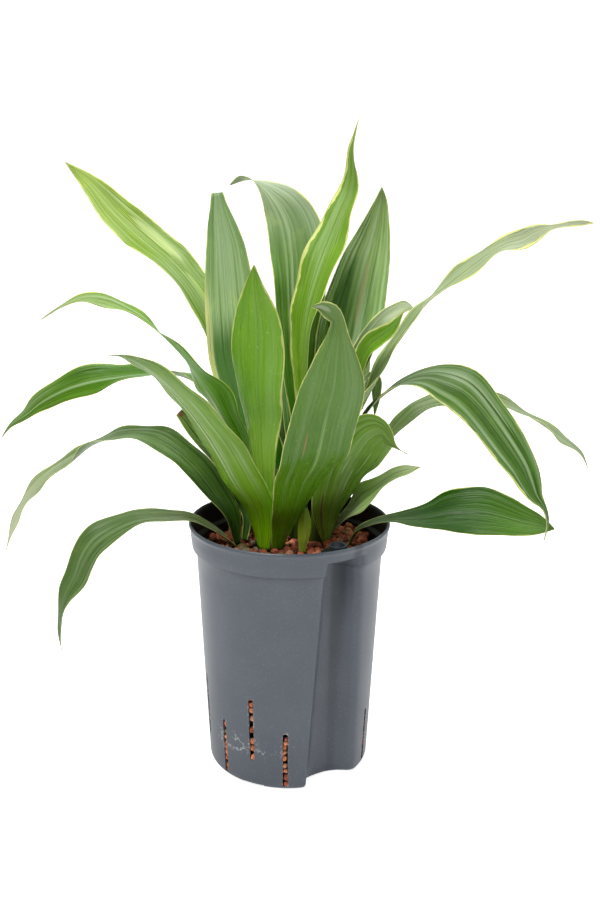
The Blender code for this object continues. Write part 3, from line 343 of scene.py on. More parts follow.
# A mark on a leaf: how far along from 0 to 1, mm to the left of the heading, half its length
# and half its width in mm, and its colour.
Mark = namedtuple("Mark", "along aside long wide colour")
REAR_LOOK = Look((66, 112, 12), (84, 134, 28), (104, 150, 50), (126, 160, 80))
SPEAR_LOOK = Look((88, 130, 30), (100, 146, 36), (116, 160, 52), (126, 160, 80))
LOOKS = {
    "front_left": Look(
        (144, 212, 14), (126, 168, 60), (126, 162, 80), (122, 158, 76), stripes=0.4, sheen=0.9,
        marks=(Mark(0.45, -7, 60, 0.9, (196, 212, 170)), Mark(0.4, -3, 55, 0.6, (184, 202, 156)),
               Mark(1, 0, 6, 4, (190, 190, 150)))),
    "front_broad": Look(
        (110, 180, 8), (80, 124, 28), (182, 198, 156), (116, 152, 78),
        stripes=0.15, sheen=0.2, dots=0.4,
        marks=(Mark(0.52, -9.5, 14, 0.5, (178, 122, 92)), Mark(0.48, 1, 42, 0.7, (136, 172, 92)),
               Mark(0.98, 0, 9, 9, (182, 198, 156)))),
    "front_upright": Look(
        (190, 232, 88), (124, 176, 44), (124, 174, 46), (126, 178, 50),
        margins=(1.2, 0.8), stripes=0.3, sheen=0.25, dots=1.0),
    # cut_tip's very dark middle is painted shade: the shade it lies in among the other leaves
    "cut_tip": Look((66, 112, 12), (24, 56, 2), (90, 122, 30), (90, 122, 30),
                    marks=(Mark(1, 0, 5, 8, (112, 66, 44)),)),
    # left_high's two pale marks are painted sheen: patches of light on the middle of the leaf
    "left_high": Look(
        (70, 104, 24), (110, 144, 36), (154, 182, 70), (132, 164, 56),
        margins=(0.9, 0.9), stripes=0.2, sheen=0.5,
        marks=(Mark(0.68, -7, 34, 4, (188, 208, 128)), Mark(0.5, -3, 24, 2, (158, 184, 96)))),
    # upright_left's pale middle colour is partly painted sheen: the light on its upper half
    "upright_left": Look(
        (60, 114, 6), (190, 220, 156), (150, 188, 118), (146, 184, 108),
        stripes=0.7, sheen=1.0, dots=0.4,
        marks=(Mark(0.28, 0, 76, 60, (44, 108, 0)), Mark(0.5, 18.5, 48, 3.5, (236, 240, 160)))),
    # back_hook's pale tip and underside are partly painted light: a highlight where the hook
    # folds, and an underside lightened against the shade that it faces into
    "back_hook": Look((80, 142, 10), (100, 146, 48), (180, 194, 162), (214, 232, 186),
                      margins=(0.7, 0.9), sheen=1.0),
    "tallest": Look((174, 216, 68), (114, 158, 36), (124, 164, 50), (126, 160, 80),
                    margins=(2.3, 1.7), stripes=0.4),
    "back_broad": Look(
        (108, 170, 48), (138, 178, 98), (144, 174, 96), (126, 160, 80), stripes=1.0, sheen=1.0,
        marks=(Mark(0.66, -3, 30, 2.2, (178, 178, 122)), Mark(0.55, 12, 60, 7, (56, 104, 26)))),
    "right_high": Look((84, 124, 40), (150, 170, 112), (172, 182, 148), (176, 188, 146),
                       margins=(1.2, 2.0), sheen=0.8),
    "right_short": Look((56, 96, 10), (96, 136, 26), (116, 168, 40), (106, 152, 34),
                        margins=(1.2, 1.0), stripes=0.2, sheen=0.2),
    "right_pale": Look((40, 72, 6), (62, 98, 34), (172, 186, 142), (160, 180, 130),
                       sheen=0.8),
    "right_arch": Look((116, 144, 82), (90, 126, 52), (88, 134, 44), (126, 160, 80),
                       margins=(0.6, 1.4), stripes=1.0, sheen=1.0),
    "right_behind": Look((154, 188, 100), (124, 148, 88), (166, 184, 140), (154, 174, 130)),
    "scarred": Look(
        (130, 166, 50), (108, 152, 46), (160, 186, 120), (126, 162, 72), stripes=0.4, sheen=0.3,
        marks=(Mark(0.4, 4, 14, 0.5, (184, 200, 166)), Mark(0.5, -3, 10, 0.5, (190, 204, 172)),
               Mark(0.55, 9, 16, 0.4, (176, 196, 156)), Mark(0.16, -12, 22, 1.4, (116, 84, 62)))),
    "right_low": Look((132, 120, 92), (194, 226, 136), (230, 246, 190), (230, 246, 190)),
    "right_rim": Look((88, 112, 58), (44, 92, 4), (96, 144, 40), (126, 160, 80), sheen=0.15),
    "left_rim": Look((120, 136, 76), (96, 124, 68), (98, 130, 66), (126, 160, 80)),
    "left_far": Look((82, 102, 42), (72, 120, 16), (98, 140, 36), (126, 160, 80), sheen=0.8),
    "left_arch": Look((74, 114, 34), (96, 132, 54), (226, 234, 188), (204, 220, 158),
                      stripes=0.7, sheen=0.8),
    "left_middle": Look((92, 160, 2), (114, 170, 34), (150, 176, 100), (134, 168, 84),
                        sheen=0.9, marks=(Mark(0.3, -6, 40, 2, (196, 212, 170)),)),
    "hanging_tip": Look((66, 112, 12), (140, 174, 98), (156, 188, 118), (150, 184, 110)),
    "young_narrow": Look((66, 112, 12), (110, 140, 76), (160, 176, 130), (150, 170, 116)),
    "bud_sheath": Look((166, 206, 62), (178, 214, 62), (148, 188, 44), (152, 192, 46),
                       margins=(0.0, 0.0), stripes=0.3, sheen=0.2),
}
# Streaks on a leaf: how fine they are along it and across it, a shift that keeps one kind clear
# of another, and how detailed they are
BANDS = (0.008, 0.11, 0.0, 1.0)
STRIPES = (0.006, 0.36, 2.0, 1.0)
VEINS = (0.012, 1.1, 4.0, 2.0)
MOTTLE = (0.05, 0.08, 6.0, 3.0)
SPECKS = (0.42, 0.55, 8.0, 1.0)
FRESH_TINT = (1.3, 1.2, 0.9, 1.0)
DARK_TINT = (0.5, 0.58, 0.4, 1.0)
# pale colour for the painted sheen on leaves, and for the midrib's paler line
SHEEN_AND_RIB_PALE = (190, 208, 172)
DOTS = (196, 208, 128)
MARGIN = (234, 238, 146)


def smooth(start, end, value):
    """0 below start, 1 above end, and an easy slope between them."""
    t = np.clip((value - start) / (end - start), 0.0, 1.0)
    return t * t * (3.0 - 2.0 * t)


def between(first, last, share):
    """A value that runs evenly from first at 0 to last at 1."""
    return first + (last - first) * share


def outward(heading):
    """The level direction of a heading."""
    a = math.radians(heading)
    return Vector((math.sin(a), -math.cos(a), 0.0))


def srgb(colour):
    """A 0 to 255 screen colour as the shader's linear colour."""
    linear = [((c / 255.0 + 0.055) / 1.055) ** 2.4 if c > 10 else c / 3294.6 for c in colour]
    return (*linear, 1.0)


# Shader nodes

class Value:
    """A node's output, which is reckoned with as a number is: each sum adds a math node."""

    def __init__(self, tree, socket):
        self.tree = tree
        self.socket = socket

    def calc(self, operation, other=0.0):
        """One math node, with this value first."""
        node = add_node(self.tree, "Math", {0: self, 1: other}, operation=operation)
        return Value(self.tree, node.outputs[0])

    def __add__(self, other):
        return self.calc("ADD", other)

    def __sub__(self, other):
        return self.calc("SUBTRACT", other)

    def __mul__(self, other):
        return self.calc("MULTIPLY", other)

    def __neg__(self):
        return self.calc("MULTIPLY", -1.0)

    def __abs__(self):
        return self.calc("ABSOLUTE")

    def slope(self, low, high, start=0.0, end=1.0):
        """Ease from start at low to end at high."""
        ends = {"Value": self, "From Min": low, "From Max": high, "To Min": start, "To Max": end}
        node = add_node(self.tree, "MapRange", ends, interpolation_type="SMOOTHSTEP")
        return Value(self.tree, node.outputs["Result"])


def put(tree, node, values):
    """Set a node's sockets, or link them where the value comes from another node."""
    for key, value in values.items():
        if isinstance(value, Value):
            tree.links.new(value.socket, node.inputs[key])
        else:
            node.inputs[key].default_value = value


def add_node(tree, kind, values, **settings):
    """A new shader node with its settings and its sockets."""
    node = tree.nodes.new("ShaderNode" + kind)
    for name, setting in settings.items():
        setattr(node, name, setting)
    put(tree, node, values)
    return node


def new_material(name):
    """A material with only its shader and output, its tree, and the shader itself."""
    made = bpy.data.materials.new(name)
    made.use_nodes = True
    return made, made.node_tree, made.node_tree.nodes["Principled BSDF"]


def blend(tree, share, first, second, kind="MIX"):
    """Mix two colours of the shader."""
    node = add_node(tree, "Mix", {"Factor": share, 6: first, 7: second}, data_type="RGBA",
                    blend_type=kind)
    return Value(tree, node.outputs[2])


def tinted(tree, colour, tint):
    """A colour multiplied by a tint."""
    return blend(tree, 1.0, colour, tint, "MULTIPLY")


def layered(tree, colour, *layers):
    """A colour with others laid over it by their shares: screen colours or other nodes' ones."""
    for share, over in layers:
        colour = blend(tree, share, colour, over if isinstance(over, Value) else srgb(over))
    return colour


def vector(tree, x, y, z):
    """Three numbers as a vector."""
    return Value(tree, add_node(tree, "CombineXYZ", {0: x, 1: y, 2: z}).outputs[0])


def parts(vector_value):
    """A vector's three numbers."""
    tree = vector_value.tree
    return [Value(tree, out) for out in add_node(tree, "SeparateXYZ", {0: vector_value}).outputs]


def coordinates(tree, kind="Object"):
    """Where a point lies, in metres on its object or as a direction in the surroundings."""
    return Value(tree, add_node(tree, "TexCoord", {}).outputs[kind])


def seen_by_camera(tree):
    """1 where the camera looks straight at the surface, 0 in its reflections and its light."""
    return Value(tree, add_node(tree, "LightPath", {}).outputs["Is Camera Ray"])


def grain(place, scale=1.0, detail=2.0, rough=0.5):
    """A noise value at a place."""
    values = {"Vector": place, "Scale": scale, "Detail": detail, "Roughness": rough}
    return Value(place.tree, add_node(place.tree, "TexNoise", values).outputs["Fac"])


def uv(tree, layer):
    """The numbers in a mesh's UV layer."""
    return parts(Value(tree, add_node(tree, "UVMap", {}, uv_map=layer).outputs["UV"]))


def relief(shader, height, distance, strength=1.0):
    """Feed a height into the shader's normal."""
    tree = height.tree
    node = add_node(tree, "Bump", {"Distance": distance, "Strength": strength, "Height": height})
    put(tree, shader, {"Normal": Value(tree, node.outputs["Normal"])})


def margin_share(look, along, across, edge, seed):
    """How pale the rim of a leaf is: a thin line of wandering width."""
    left, right = look.margins
    side = across.calc("GREATER_THAN")
    wander = grain(vector(along.tree, along * 0.06, side, seed))
    width = (side * (left - right) + right) * wander.slope(0.3, 0.7, 0.4, 1.6)
    return (edge - width).slope(-0.25, 0.25, 1.0, 0.0) * 0.85


def mark_share(mark, share, across, length, ragged):
    """How strong a mark is: a long fleck with soft ragged edges."""
    ahead = (share - mark.along) * (length / mark.long)
    aside = (across - mark.aside) * (1.0 / mark.wide)
    return (ahead * ahead + aside * aside + ragged).slope(0.9, 1.6, 0.8, 0.0)


def leaf_material(name, look, seed, length, underside):
    """A leaf's skin: lengthwise stripes and veins, pale margins, a gloss, and painted sheen in its
    colour: pale streaks that stand in for light.
    """
    made, tree, shader = new_material(name)
    along, across, _ = uv(tree, "blade")
    edge, share, _ = uv(tree, "edge")
    along, across, edge = along * UV_LENGTH, across * UV_LENGTH, edge * UV_EDGE

    def streaks(lengthwise, crosswise, shift, detail):
        """Noise drawn out along the leaf."""
        place = vector(tree, along * lengthwise, across * crosswise, seed + shift)
        return grain(place, detail=detail)

    bands, stripes, veins, mottle = (streaks(*kind) for kind in (BANDS, STRIPES, VEINS, MOTTLE))
    end = look.under if underside else look.tip
    plain = layered(tree, srgb(look.foot), (share.slope(0.05, 0.45), look.middle),
                    (share.slope(0.5, 1.0), end))
    dark = tinted(tree, plain, DARK_TINT)
    sheen_and_rib_pale = layered(tree, plain, (0.5, SHEEN_AND_RIB_PALE))
    layers = [(stripes.slope(0.5, 0.3) * look.stripes, dark),
              (bands.slope(0.48, 0.3) * (look.stripes * 0.8), dark),
              (mottle.slope(0.5, 0.7) * 0.4, tinted(tree, plain, FRESH_TINT))]
    if look.dots:
        layers.append((streaks(*SPECKS).slope(0.69, 0.73, 0.0, 0.7 * look.dots), DOTS))
    # painted sheen: pale streaks in the colour that stand in for light on the glossy skin, none at
    # the foot
    painted_sheen = (bands + stripes).slope(0.98, 1.25) * share.slope(0.12, 0.4, 0.0, look.sheen)
    rib = abs(across).slope(0.3, 1.0, 1.0, 0.0)
    layers += [(painted_sheen, sheen_and_rib_pale), (veins.slope(0.5, 0.35) * 0.2, dark), (rib * 0.25, sheen_and_rib_pale)]
    for mark in look.marks:
        layers.append((mark_share(mark, share, across, length, veins), mark.colour))
    layers.append((margin_share(look, along, across, edge, seed), MARGIN))
    colour = layered(tree, plain, *layers)
    put(tree, shader, {"Base Color": colour, "Roughness": stripes.slope(0.3, 0.7, 0.26, 0.42),
                       "Specular IOR Level": 0.3})
    relief(shader, veins * 0.5 + stripes, 0.0014)
    return made


# Meshes

def leaned(points):
    """The plant's points after its slight lean."""
    turn = math.radians(PLANT_LEAN)
    x, y, up = points[:, 0], points[:, 1], points[:, 2] - LEAN_HEIGHT
    return np.stack([x * math.cos(turn) + up * math.sin(turn), y,
                     LEAN_HEIGHT + up * math.cos(turn) - x * math.sin(turn)], axis=1)


def add_object(name, data):
    """A new object in the scene."""
    made = bpy.data.objects.new(name, data)
    bpy.context.scene.collection.objects.link(made)
    return made


def mesh_object(name, verts, faces, surfaces, layers=None, leaning=False):
    """An object from points in millimetres, with its materials and UV layers given per point."""
    points = np.asarray(verts, float)
    if leaning:
        points = leaned(points)
    mesh = bpy.data.meshes.new(name)
    mesh.from_pydata([tuple(p) for p in points * MM], [], faces)
    corner = np.empty(len(mesh.loops), int)
    mesh.loops.foreach_get("vertex_index", corner)
    for layer, values in (layers or {}).items():
        made = mesh.uv_layers.new(name=layer)
        made.uv.foreach_set("vector", np.asarray(values, float)[corner].ravel())
    for surface in surfaces:
        mesh.materials.append(surface)
    mesh.shade_smooth()
    return add_object(name, mesh)


def dress(made, slot, *nodes):
    """Let a piece ride and stand for its CAD nodes. The slot is not used."""
    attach(made, "root")
    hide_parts(*nodes)


def ring_faces(rows, around):
    """Faces of the skin through rings of points, without its ends."""
    faces = []
    for row in range(rows - 1):
        for i in range(around):
            a, b = row * around + i, row * around + (i + 1) % around
            faces.append((a, b, b + around, a + around))
    return faces


def tube_faces(rows, around):
    """Faces of a closed tube: its skin, its foot and its top."""
    foot = tuple(reversed(range(around)))
    top = tuple((rows - 1) * around + i for i in range(around))
    return ring_faces(rows, around) + [foot, top]


# Leaves

def stem_radius(stem, height):
    """A stem's radius at a height: it tapers above the clay."""
    share = min(max((height - CLAY_TOP) / (stem.top - CLAY_TOP), 0.0), 1.0)
    return between(stem.radius, stem.top_radius, share)


def curve_through(stations, count):
    """Evenly spaced points on a smooth curve through stations: x, y, z and any values."""
    given = np.array(stations, float)
    given = np.vstack([2 * given[0] - given[1], given, 2 * given[-1] - given[-2]])
    t = np.linspace(0.0, 1.0, CURVE_STEPS, endpoint=False)[:, None]
    pieces = []
    for i in range(1, len(given) - 2):
        before, start, end, after = given[i - 1:i + 3]
        gaps = [max(np.linalg.norm(b[:3] - a[:3]), 1e-6) ** 0.5
                for a, b in ((before, start), (start, end), (end, after))]
        leave = (end - start) / gaps[1] - (end - before) / (gaps[0] + gaps[1]) \
            + (start - before) / gaps[0]
        arrive = (after - end) / gaps[2] - (after - start) / (gaps[1] + gaps[2]) \
            + (end - start) / gaps[1]
        leave, arrive = leave * gaps[1], arrive * gaps[1]
        pieces.append((2 * t**3 - 3 * t**2 + 1) * start + (t**3 - 2 * t**2 + t) * leave
                      + (3 * t**2 - 2 * t**3) * end + (t**3 - t**2) * arrive)
    dense = np.vstack(pieces + [given[-2:-1]])
    lengths = np.linalg.norm(np.diff(dense[:, :3], axis=0), axis=1)
    run = np.concatenate([[0.0], np.cumsum(lengths)])
    wanted = np.linspace(0.0, run[-1], count)
    columns = [np.interp(wanted, run, dense[:, k]) for k in range(dense.shape[1])]
    return np.stack(columns, axis=1), wanted


def leaf_stations(leaf):
    """A leaf's stations in space: x, y, z, width and turn, with the foot on its stem first."""
    stem = STEMS[leaf.stem]
    way, left = outward(leaf.heading), outward(leaf.heading + 90.0)
    seat = stem_radius(stem, leaf.foot_height) + STEM_GAP + CAD_BLADE / 2.0
    turn = math.radians(leaf.foot_turn)
    foot = (seat * math.cos(turn), leaf.foot_height, leaf.foot_width, leaf.foot_turn,
            seat * math.sin(turn))
    rows = []
    for station in [foot] + leaf.stations:
        reach, height, width, twist, drift = (*station, 0.0)[:5]
        place = way * reach + left * drift
        rows.append((stem.x + place.x, stem.y + place.y, height, width, twist))
    return rows


def leaf_surface(leaf):
    """Points of a leaf's middle surface, with the run along it and its width at each row."""
    values, run = curve_through(leaf_stations(leaf), ROWS)
    path, turn = values[:, :3], np.radians(values[:, 4])
    width = np.maximum(values[:, 3], LEAST_WIDTH)
    ahead = np.gradient(path, run, axis=0)
    ahead /= np.linalg.norm(ahead, axis=1)[:, None]
    left = np.array(outward(leaf.heading + 90.0))
    side = left - (ahead @ left)[:, None] * ahead
    side /= np.linalg.norm(side, axis=1)[:, None]
    face = np.cross(ahead, side)
    cos, sin = np.cos(turn)[:, None], np.sin(turn)[:, None]
    side, face = cos * side + sin * face, cos * face - sin * side
    share = run / run[-1]
    stem = STEMS[leaf.stem]
    clasp = leaf.foot_width / 2.0 / (stem_radius(stem, leaf.foot_height) + STEM_GAP)
    roll = clasp + (math.radians(leaf.cup) - clasp) * smooth(0.0, 0.25, share)
    roll = roll * (1.0 - 0.6 * smooth(0.8, 1.0, share))
    bend = width / 2.0 / np.maximum(roll, 1e-3)
    sink = BLADE_LIFT_SHARE * bend * (1.0 - np.cos(roll)) * smooth(0.1, 0.3, share)
    ripple_share = smooth(0.2, 0.4, share) * (1.0 - smooth(0.85, 1.0, share))
    keel = KEEL_DEPTH * smooth(0.0, 0.15, share) * (1.0 - smooth(0.85, 1.0, share))
    columns = []
    for v in np.linspace(-1.0, 1.0, COLUMNS + 1):
        start = 2.0 * leaf.phase + (RIPPLE_SHIFT if v < 0 else 0.0)
        ripple = leaf.wave * v * v * np.sin(2.0 * np.pi * run / RIPPLE_LENGTH + start)
        sideways = bend * np.sin(roll * v)
        lift = bend * (1.0 - np.cos(roll * v)) - sink + ripple * ripple_share
        lift = lift - keel * np.exp(-(v * width / 2.0 / KEEL_REACH) ** 2)
        columns.append(path + sideways[:, None] * side + lift[:, None] * face)
    return np.stack(columns, axis=1), run, width


def build_leaf(name, leaf, look, seed):
    """A fine leaf blade with its two skins, in the place of its CAD node."""
    middle, run, width = leaf_surface(leaf)
    normal = np.cross(np.gradient(middle, axis=0), np.gradient(middle, axis=1))
    normal /= np.maximum(np.linalg.norm(normal, axis=2), 1e-9)[..., None]
    v = np.linspace(-1.0, 1.0, COLUMNS + 1)
    half = (BLADE / 2.0 * (1.0 - 0.6 * v ** 4))[None, :, None]
    verts = np.concatenate([(middle + normal * half).reshape(-1, 3),
                            (middle - normal * half).reshape(-1, 3)])
    grid = np.arange(middle.size // 3).reshape(middle.shape[:2])
    upper = np.stack([grid[:-1, :-1], grid[1:, :-1], grid[1:, 1:], grid[:-1, 1:]], axis=-1)
    upper = upper.reshape(-1, 4)
    rim = np.concatenate([grid[:, 0], grid[-1, 1:], grid[-2::-1, -1], grid[0, -2:0:-1]])
    after = np.roll(rim, -1)
    edges = np.stack([rim, grid.size + rim, grid.size + after, after], axis=-1)
    faces = np.concatenate([upper, grid.size + upper[:, ::-1], edges]).tolist()
    share = run / run[-1]
    layers = {"blade": (run[:, None] / UV_LENGTH, v * width.max() / 2.0 / UV_LENGTH),
              "edge": ((1.0 - abs(v)) * width[:, None] / 2.0 / UV_EDGE, share[:, None])}
    for layer, pair in layers.items():
        flat = np.stack(np.broadcast_arrays(*pair), axis=-1).reshape(-1, 2)
        layers[layer] = np.tile(flat, (2, 1))
    length = float(run[-1])
    skins = (leaf_material(name + "_upper", look, seed, length, False),
             leaf_material(name + "_under", look, seed, length, True))
    made = mesh_object("blade_" + name, verts, faces, skins, layers, leaning=True)
    sides = [0] * len(upper) + [1] * (len(faces) - len(upper))
    made.data.polygons.foreach_set("material_index", sides)
    dress(made, "leaf_green", name)


# Stems

def stem_material(name, green, worn):
    """Old leaf sheaths round a stem: upright streaks, dry and brown in places."""
    made, tree, shader = new_material(name)
    place = coordinates(tree)
    x, y, z = parts(place)
    streaks = grain(vector(tree, x * BARK_CROSSWISE, y * BARK_CROSSWISE, z * BARK_LENGTHWISE))
    mottle = grain(place, scale=90.0, detail=3.0)
    colour = layered(tree, srgb(green), (streaks.slope(0.35, 0.65), worn),
                     (mottle.slope(0.58, 0.75, 0.0, 0.6), DRY_SHEATH))
    put(tree, shader, {"Base Color": colour, "Roughness": 0.5})
    relief(shader, streaks, 0.001)
    return made


def build_stem(name, stem, surface):
    """A short stem. One that bears no rolled leaf has a domed top."""
    top = stem.top if stem.spear else CLAY_TOP + SHOOT_RISE
    verts = []
    for height in np.linspace(BED_TOP - STEM_IN_BED, top, STEM_RINGS):
        radius = stem_radius(stem, height)
        if not stem.spear:
            below = (top - height) / stem.top_radius
            radius *= math.sqrt(max(1.0 - max(1.0 - below, 0.0) ** 2, 0.04))
        for i in range(STEM_SIDES):
            a = 2.0 * math.pi * i / STEM_SIDES
            verts.append((stem.x + radius * math.cos(a), stem.y + radius * math.sin(a), height))
    made = mesh_object("bark_" + name, verts, tube_faces(STEM_RINGS, STEM_SIDES), [surface],
                       leaning=True)
    made.data.set_sharp_from_angle(angle=BARK_SHARP)
    dress(made, "stem_green", name)


def build_spear(name, stem, seed):
    """The rolled youngest leaf: a slim cone with an overlapping edge."""
    low = stem.top + STEM_GAP
    verts, edge, blade = [], [], []
    for share in np.linspace(0.0, 1.0, SPEAR_RINGS):
        radius = stem.top_radius * 0.8 * (1.0 - share) ** 0.75 + 0.25
        height = between(low, stem.spear, share)
        for i in range(SPEAR_SIDES):
            a = 2.0 * math.pi * i / SPEAR_SIDES + 0.8 * share
            wrap = radius * (1.0 - 0.12 * i / SPEAR_SIDES)
            verts.append((stem.x + wrap * math.cos(a), stem.y + wrap * math.sin(a), height))
            blade.append(((height - low) / UV_LENGTH, i * 0.01))
            edge.append((min(i, SPEAR_SIDES - i) * radius * 0.03, share))
    skin = leaf_material(name + "_skin", SPEAR_LOOK, seed, stem.spear - low, False)
    made = mesh_object("roll_" + name, verts, tube_faces(SPEAR_RINGS, SPEAR_SIDES), [skin],
                       {"blade": blade, "edge": edge}, leaning=True)
    dress(made, "leaf_green", name)


# Pot

def body_radius(height):
    """Outside radius of the tapered body."""
    return between(BODY_FOOT_RADIUS, BODY_TOP_RADIUS, min(height / BAND_FOOT, 1.0))


def channel_line():
    """The channel's plan in close steps: place from lip to lip, and share of the depth."""
    wide, deep = 22.0, 18.0
    points, _ = curve_through([(g * wide, f * deep, 0.0) for g, f in CHANNEL_PLAN],
                              CHANNEL_COLUMNS)
    return [(x / wide, max(y, 0.0) / deep) for x, y, _ in points]


CHANNEL_LINE = channel_line()


def ring(radius, height, follow=1.0, widen=0.0, level=None):
    """Points round the pot at a height. follow is the share of the channel's depth, widen moves
    the channel's lips apart, and level is the height whose channel it has, if not its own."""
    share = (level or height) / BAND_FOOT
    more = math.degrees(widen / radius)
    left = between(*CHANNEL_LEFT, share) - more
    right = between(*CHANNEL_RIGHT, share) + more
    depth = between(*CHANNEL_DEPTH, share)
    middle, half = (left + right) / 2.0, (right - left) / 2.0
    places = [(middle + half * g, depth * f * follow) for g, f in CHANNEL_LINE]
    end = places[-1][0]
    span = places[0][0] + 360.0 - end
    places += [(end + span * i / WALL_COLUMNS, 0.0) for i in range(1, WALL_COLUMNS)]
    up = Vector((0.0, 0.0, height))
    return [outward(heading) * (radius - push) + up for heading, push in places]


def inner_ring(height, inset=0.0):
    """Points round the wall's inside at a height, with some more room if asked."""
    room = WALL + inset
    return ring(body_radius(height) - room, height, widen=room)


def outer_rings():
    """Rings up the outside, from the underside to the top of the lip."""
    rings = []
    for step in range(6):
        a = math.radians(18.0 * step)
        indent, height = FOOT_ROUNDING * (1.0 - math.sin(a)), FOOT_ROUNDING * (1.0 - math.cos(a))
        follow = 1.0 - 0.6 * indent / CHANNEL_DEPTH[0]
        rings.append(ring(body_radius(height) - indent, height, follow, indent))
    rings += [ring(body_radius(height), height) for height in BODY_LEVELS]
    rings += [ring(*place) for place in BAND_OUTSIDE]
    return rings + [ring(*place, follow=0.0, level=SHELF_HEIGHT) for place in LIP_OUTSIDE]


def inner_rings():
    """Rings down the inside, from the lip to the pot's floor."""
    rings = [ring(*place, follow=0.0, level=SHELF_HEIGHT) for place in LIP_INSIDE]
    rings += [ring(*place, widen=WALL) for place in BAND_INSIDE]
    rings += [inner_ring(height) for height in INNER_LEVELS]
    return rings + [inner_ring(FLOOR, FLOOR_INSET)]


def loft(rings):
    """Points and faces of a closed skin through rings that stand round an upright axis."""
    around = len(rings[0])
    verts = [p for level in rings for p in level]
    faces = ring_faces(len(rings), around)
    for row in (0, len(rings) - 1):
        middle = len(verts)
        verts.append(Vector((0.0, 0.0, rings[row][0].z)))
        for i in range(around):
            a, b = row * around + i, row * around + (i + 1) % around
            faces.append((middle, b, a) if row == 0 else (middle, a, b))
    return verts, faces


def cut(target, tool, operation):
    """Cut or join with a tool object, at once, and drop the tool."""
    modifier = target.modifiers.new("cut", "BOOLEAN")
    modifier.operation = operation
    modifier.solver = "EXACT"
    modifier.object = tool
    bpy.context.view_layer.update()
    depsgraph = bpy.context.evaluated_depsgraph_get()
    result = bpy.data.meshes.new_from_object(target.evaluated_get(depsgraph))
    target.modifiers.clear()
    target.data = result
    bpy.data.objects.remove(tool, do_unlink=True)


def tool_object(bm):
    """A cutting tool from a bmesh in millimetres."""
    bmesh.ops.scale(bm, vec=(MM, MM, MM), verts=bm.verts)
    bmesh.ops.recalc_face_normals(bm, faces=bm.faces)
    mesh = bpy.data.meshes.new("tool")
    bm.to_mesh(mesh)
    bm.free()
    return add_object("tool", mesh)


def post(radius, low, high, place):
    """An upright cylinder as a tool."""
    bm = bmesh.new()
    at = Matrix.Translation((place.x, place.y, (low + high) / 2.0))
    bmesh.ops.create_cone(bm, cap_ends=True, segments=GUIDE_SIDES, radius1=radius,
                          radius2=radius, depth=high - low, matrix=at)
    return tool_object(bm)


def slot_tools():
    """All the slots through the wall, round at the top."""
    bm = bmesh.new()
    half = SLOT_WIDTH / 2.0
    for heading, low, high in SLOTS:
        way, side = outward(heading), outward(heading + 90.0)
        outline = [(-half, low), (half, low)]
        for k in range(9):
            a = math.pi * k / 8
            outline.append((half * math.cos(a), high - half + half * math.sin(a)))
        corners = [bm.verts.new(way * SLOT_CUT_START + side * s + Vector((0, 0, z)))
                   for s, z in outline]
        grown = bmesh.ops.extrude_face_region(bm, geom=[bm.faces.new(corners)])
        moved = [v for v in grown["geom"] if isinstance(v, bmesh.types.BMVert)]
        bmesh.ops.translate(bm, vec=way * SLOT_CUT_LENGTH, verts=moved)
    return tool_object(bm)


def arch_tools():
    """The shallow arches under the foot."""
    bm = bmesh.new()
    for heading in SLOT_HEADINGS[1::2]:
        turn = Matrix.Rotation(math.radians(heading), 4, "Z")
        place = Matrix.Translation(outward(heading) * BODY_FOOT_RADIUS) @ turn
        size = Matrix.Diagonal((ARCH_WIDTH, ARCH_DEPTH * 2.0, ARCH_HEIGHT * 2.0, 1.0))
        bmesh.ops.create_cube(bm, size=1.0, matrix=place @ size)
    return tool_object(bm)


def lime_lines(place, heading, height):
    """Dried lime: thin outlines round the slots, and squiggles between them."""
    lines = 0.0
    for first, (low, high) in enumerate((SLOT_LOW, SLOT_HIGH)):
        beside = 360.0
        for slot in SLOT_HEADINGS[first::2]:
            centred = slot if slot <= 180.0 else slot - 360.0
            beside = abs(heading - centred).calc("MINIMUM", beside)
        beside = beside * math.radians(BODY_FOOT_RADIUS) - SLOT_WIDTH / 2.0
        past = (height - high).calc("MAXIMUM", -height + low)
        lines = beside.calc("MAXIMUM", past).slope(0.1, 0.9, 1.0, 0.0).calc("MAXIMUM", lines)
    lines = lines * grain(place, scale=420.0, detail=3.0).slope(0.5, 0.7)
    wander = grain(place, scale=120.0, detail=3.0, rough=0.6)
    thin = abs(wander - 0.5).slope(0.01, 0.035, 1.0, 0.0)
    where = grain(place, scale=60.0).slope(0.46, 0.56)
    band = height.slope(24.0, 29.0) * height.slope(37.0, 43.0, 1.0, 0.0)
    front = heading.slope(-60.0, -52.0) * heading.slope(8.0, 16.0, 1.0, 0.0)
    return lines.calc("MAXIMUM", thin * where * (band * front))


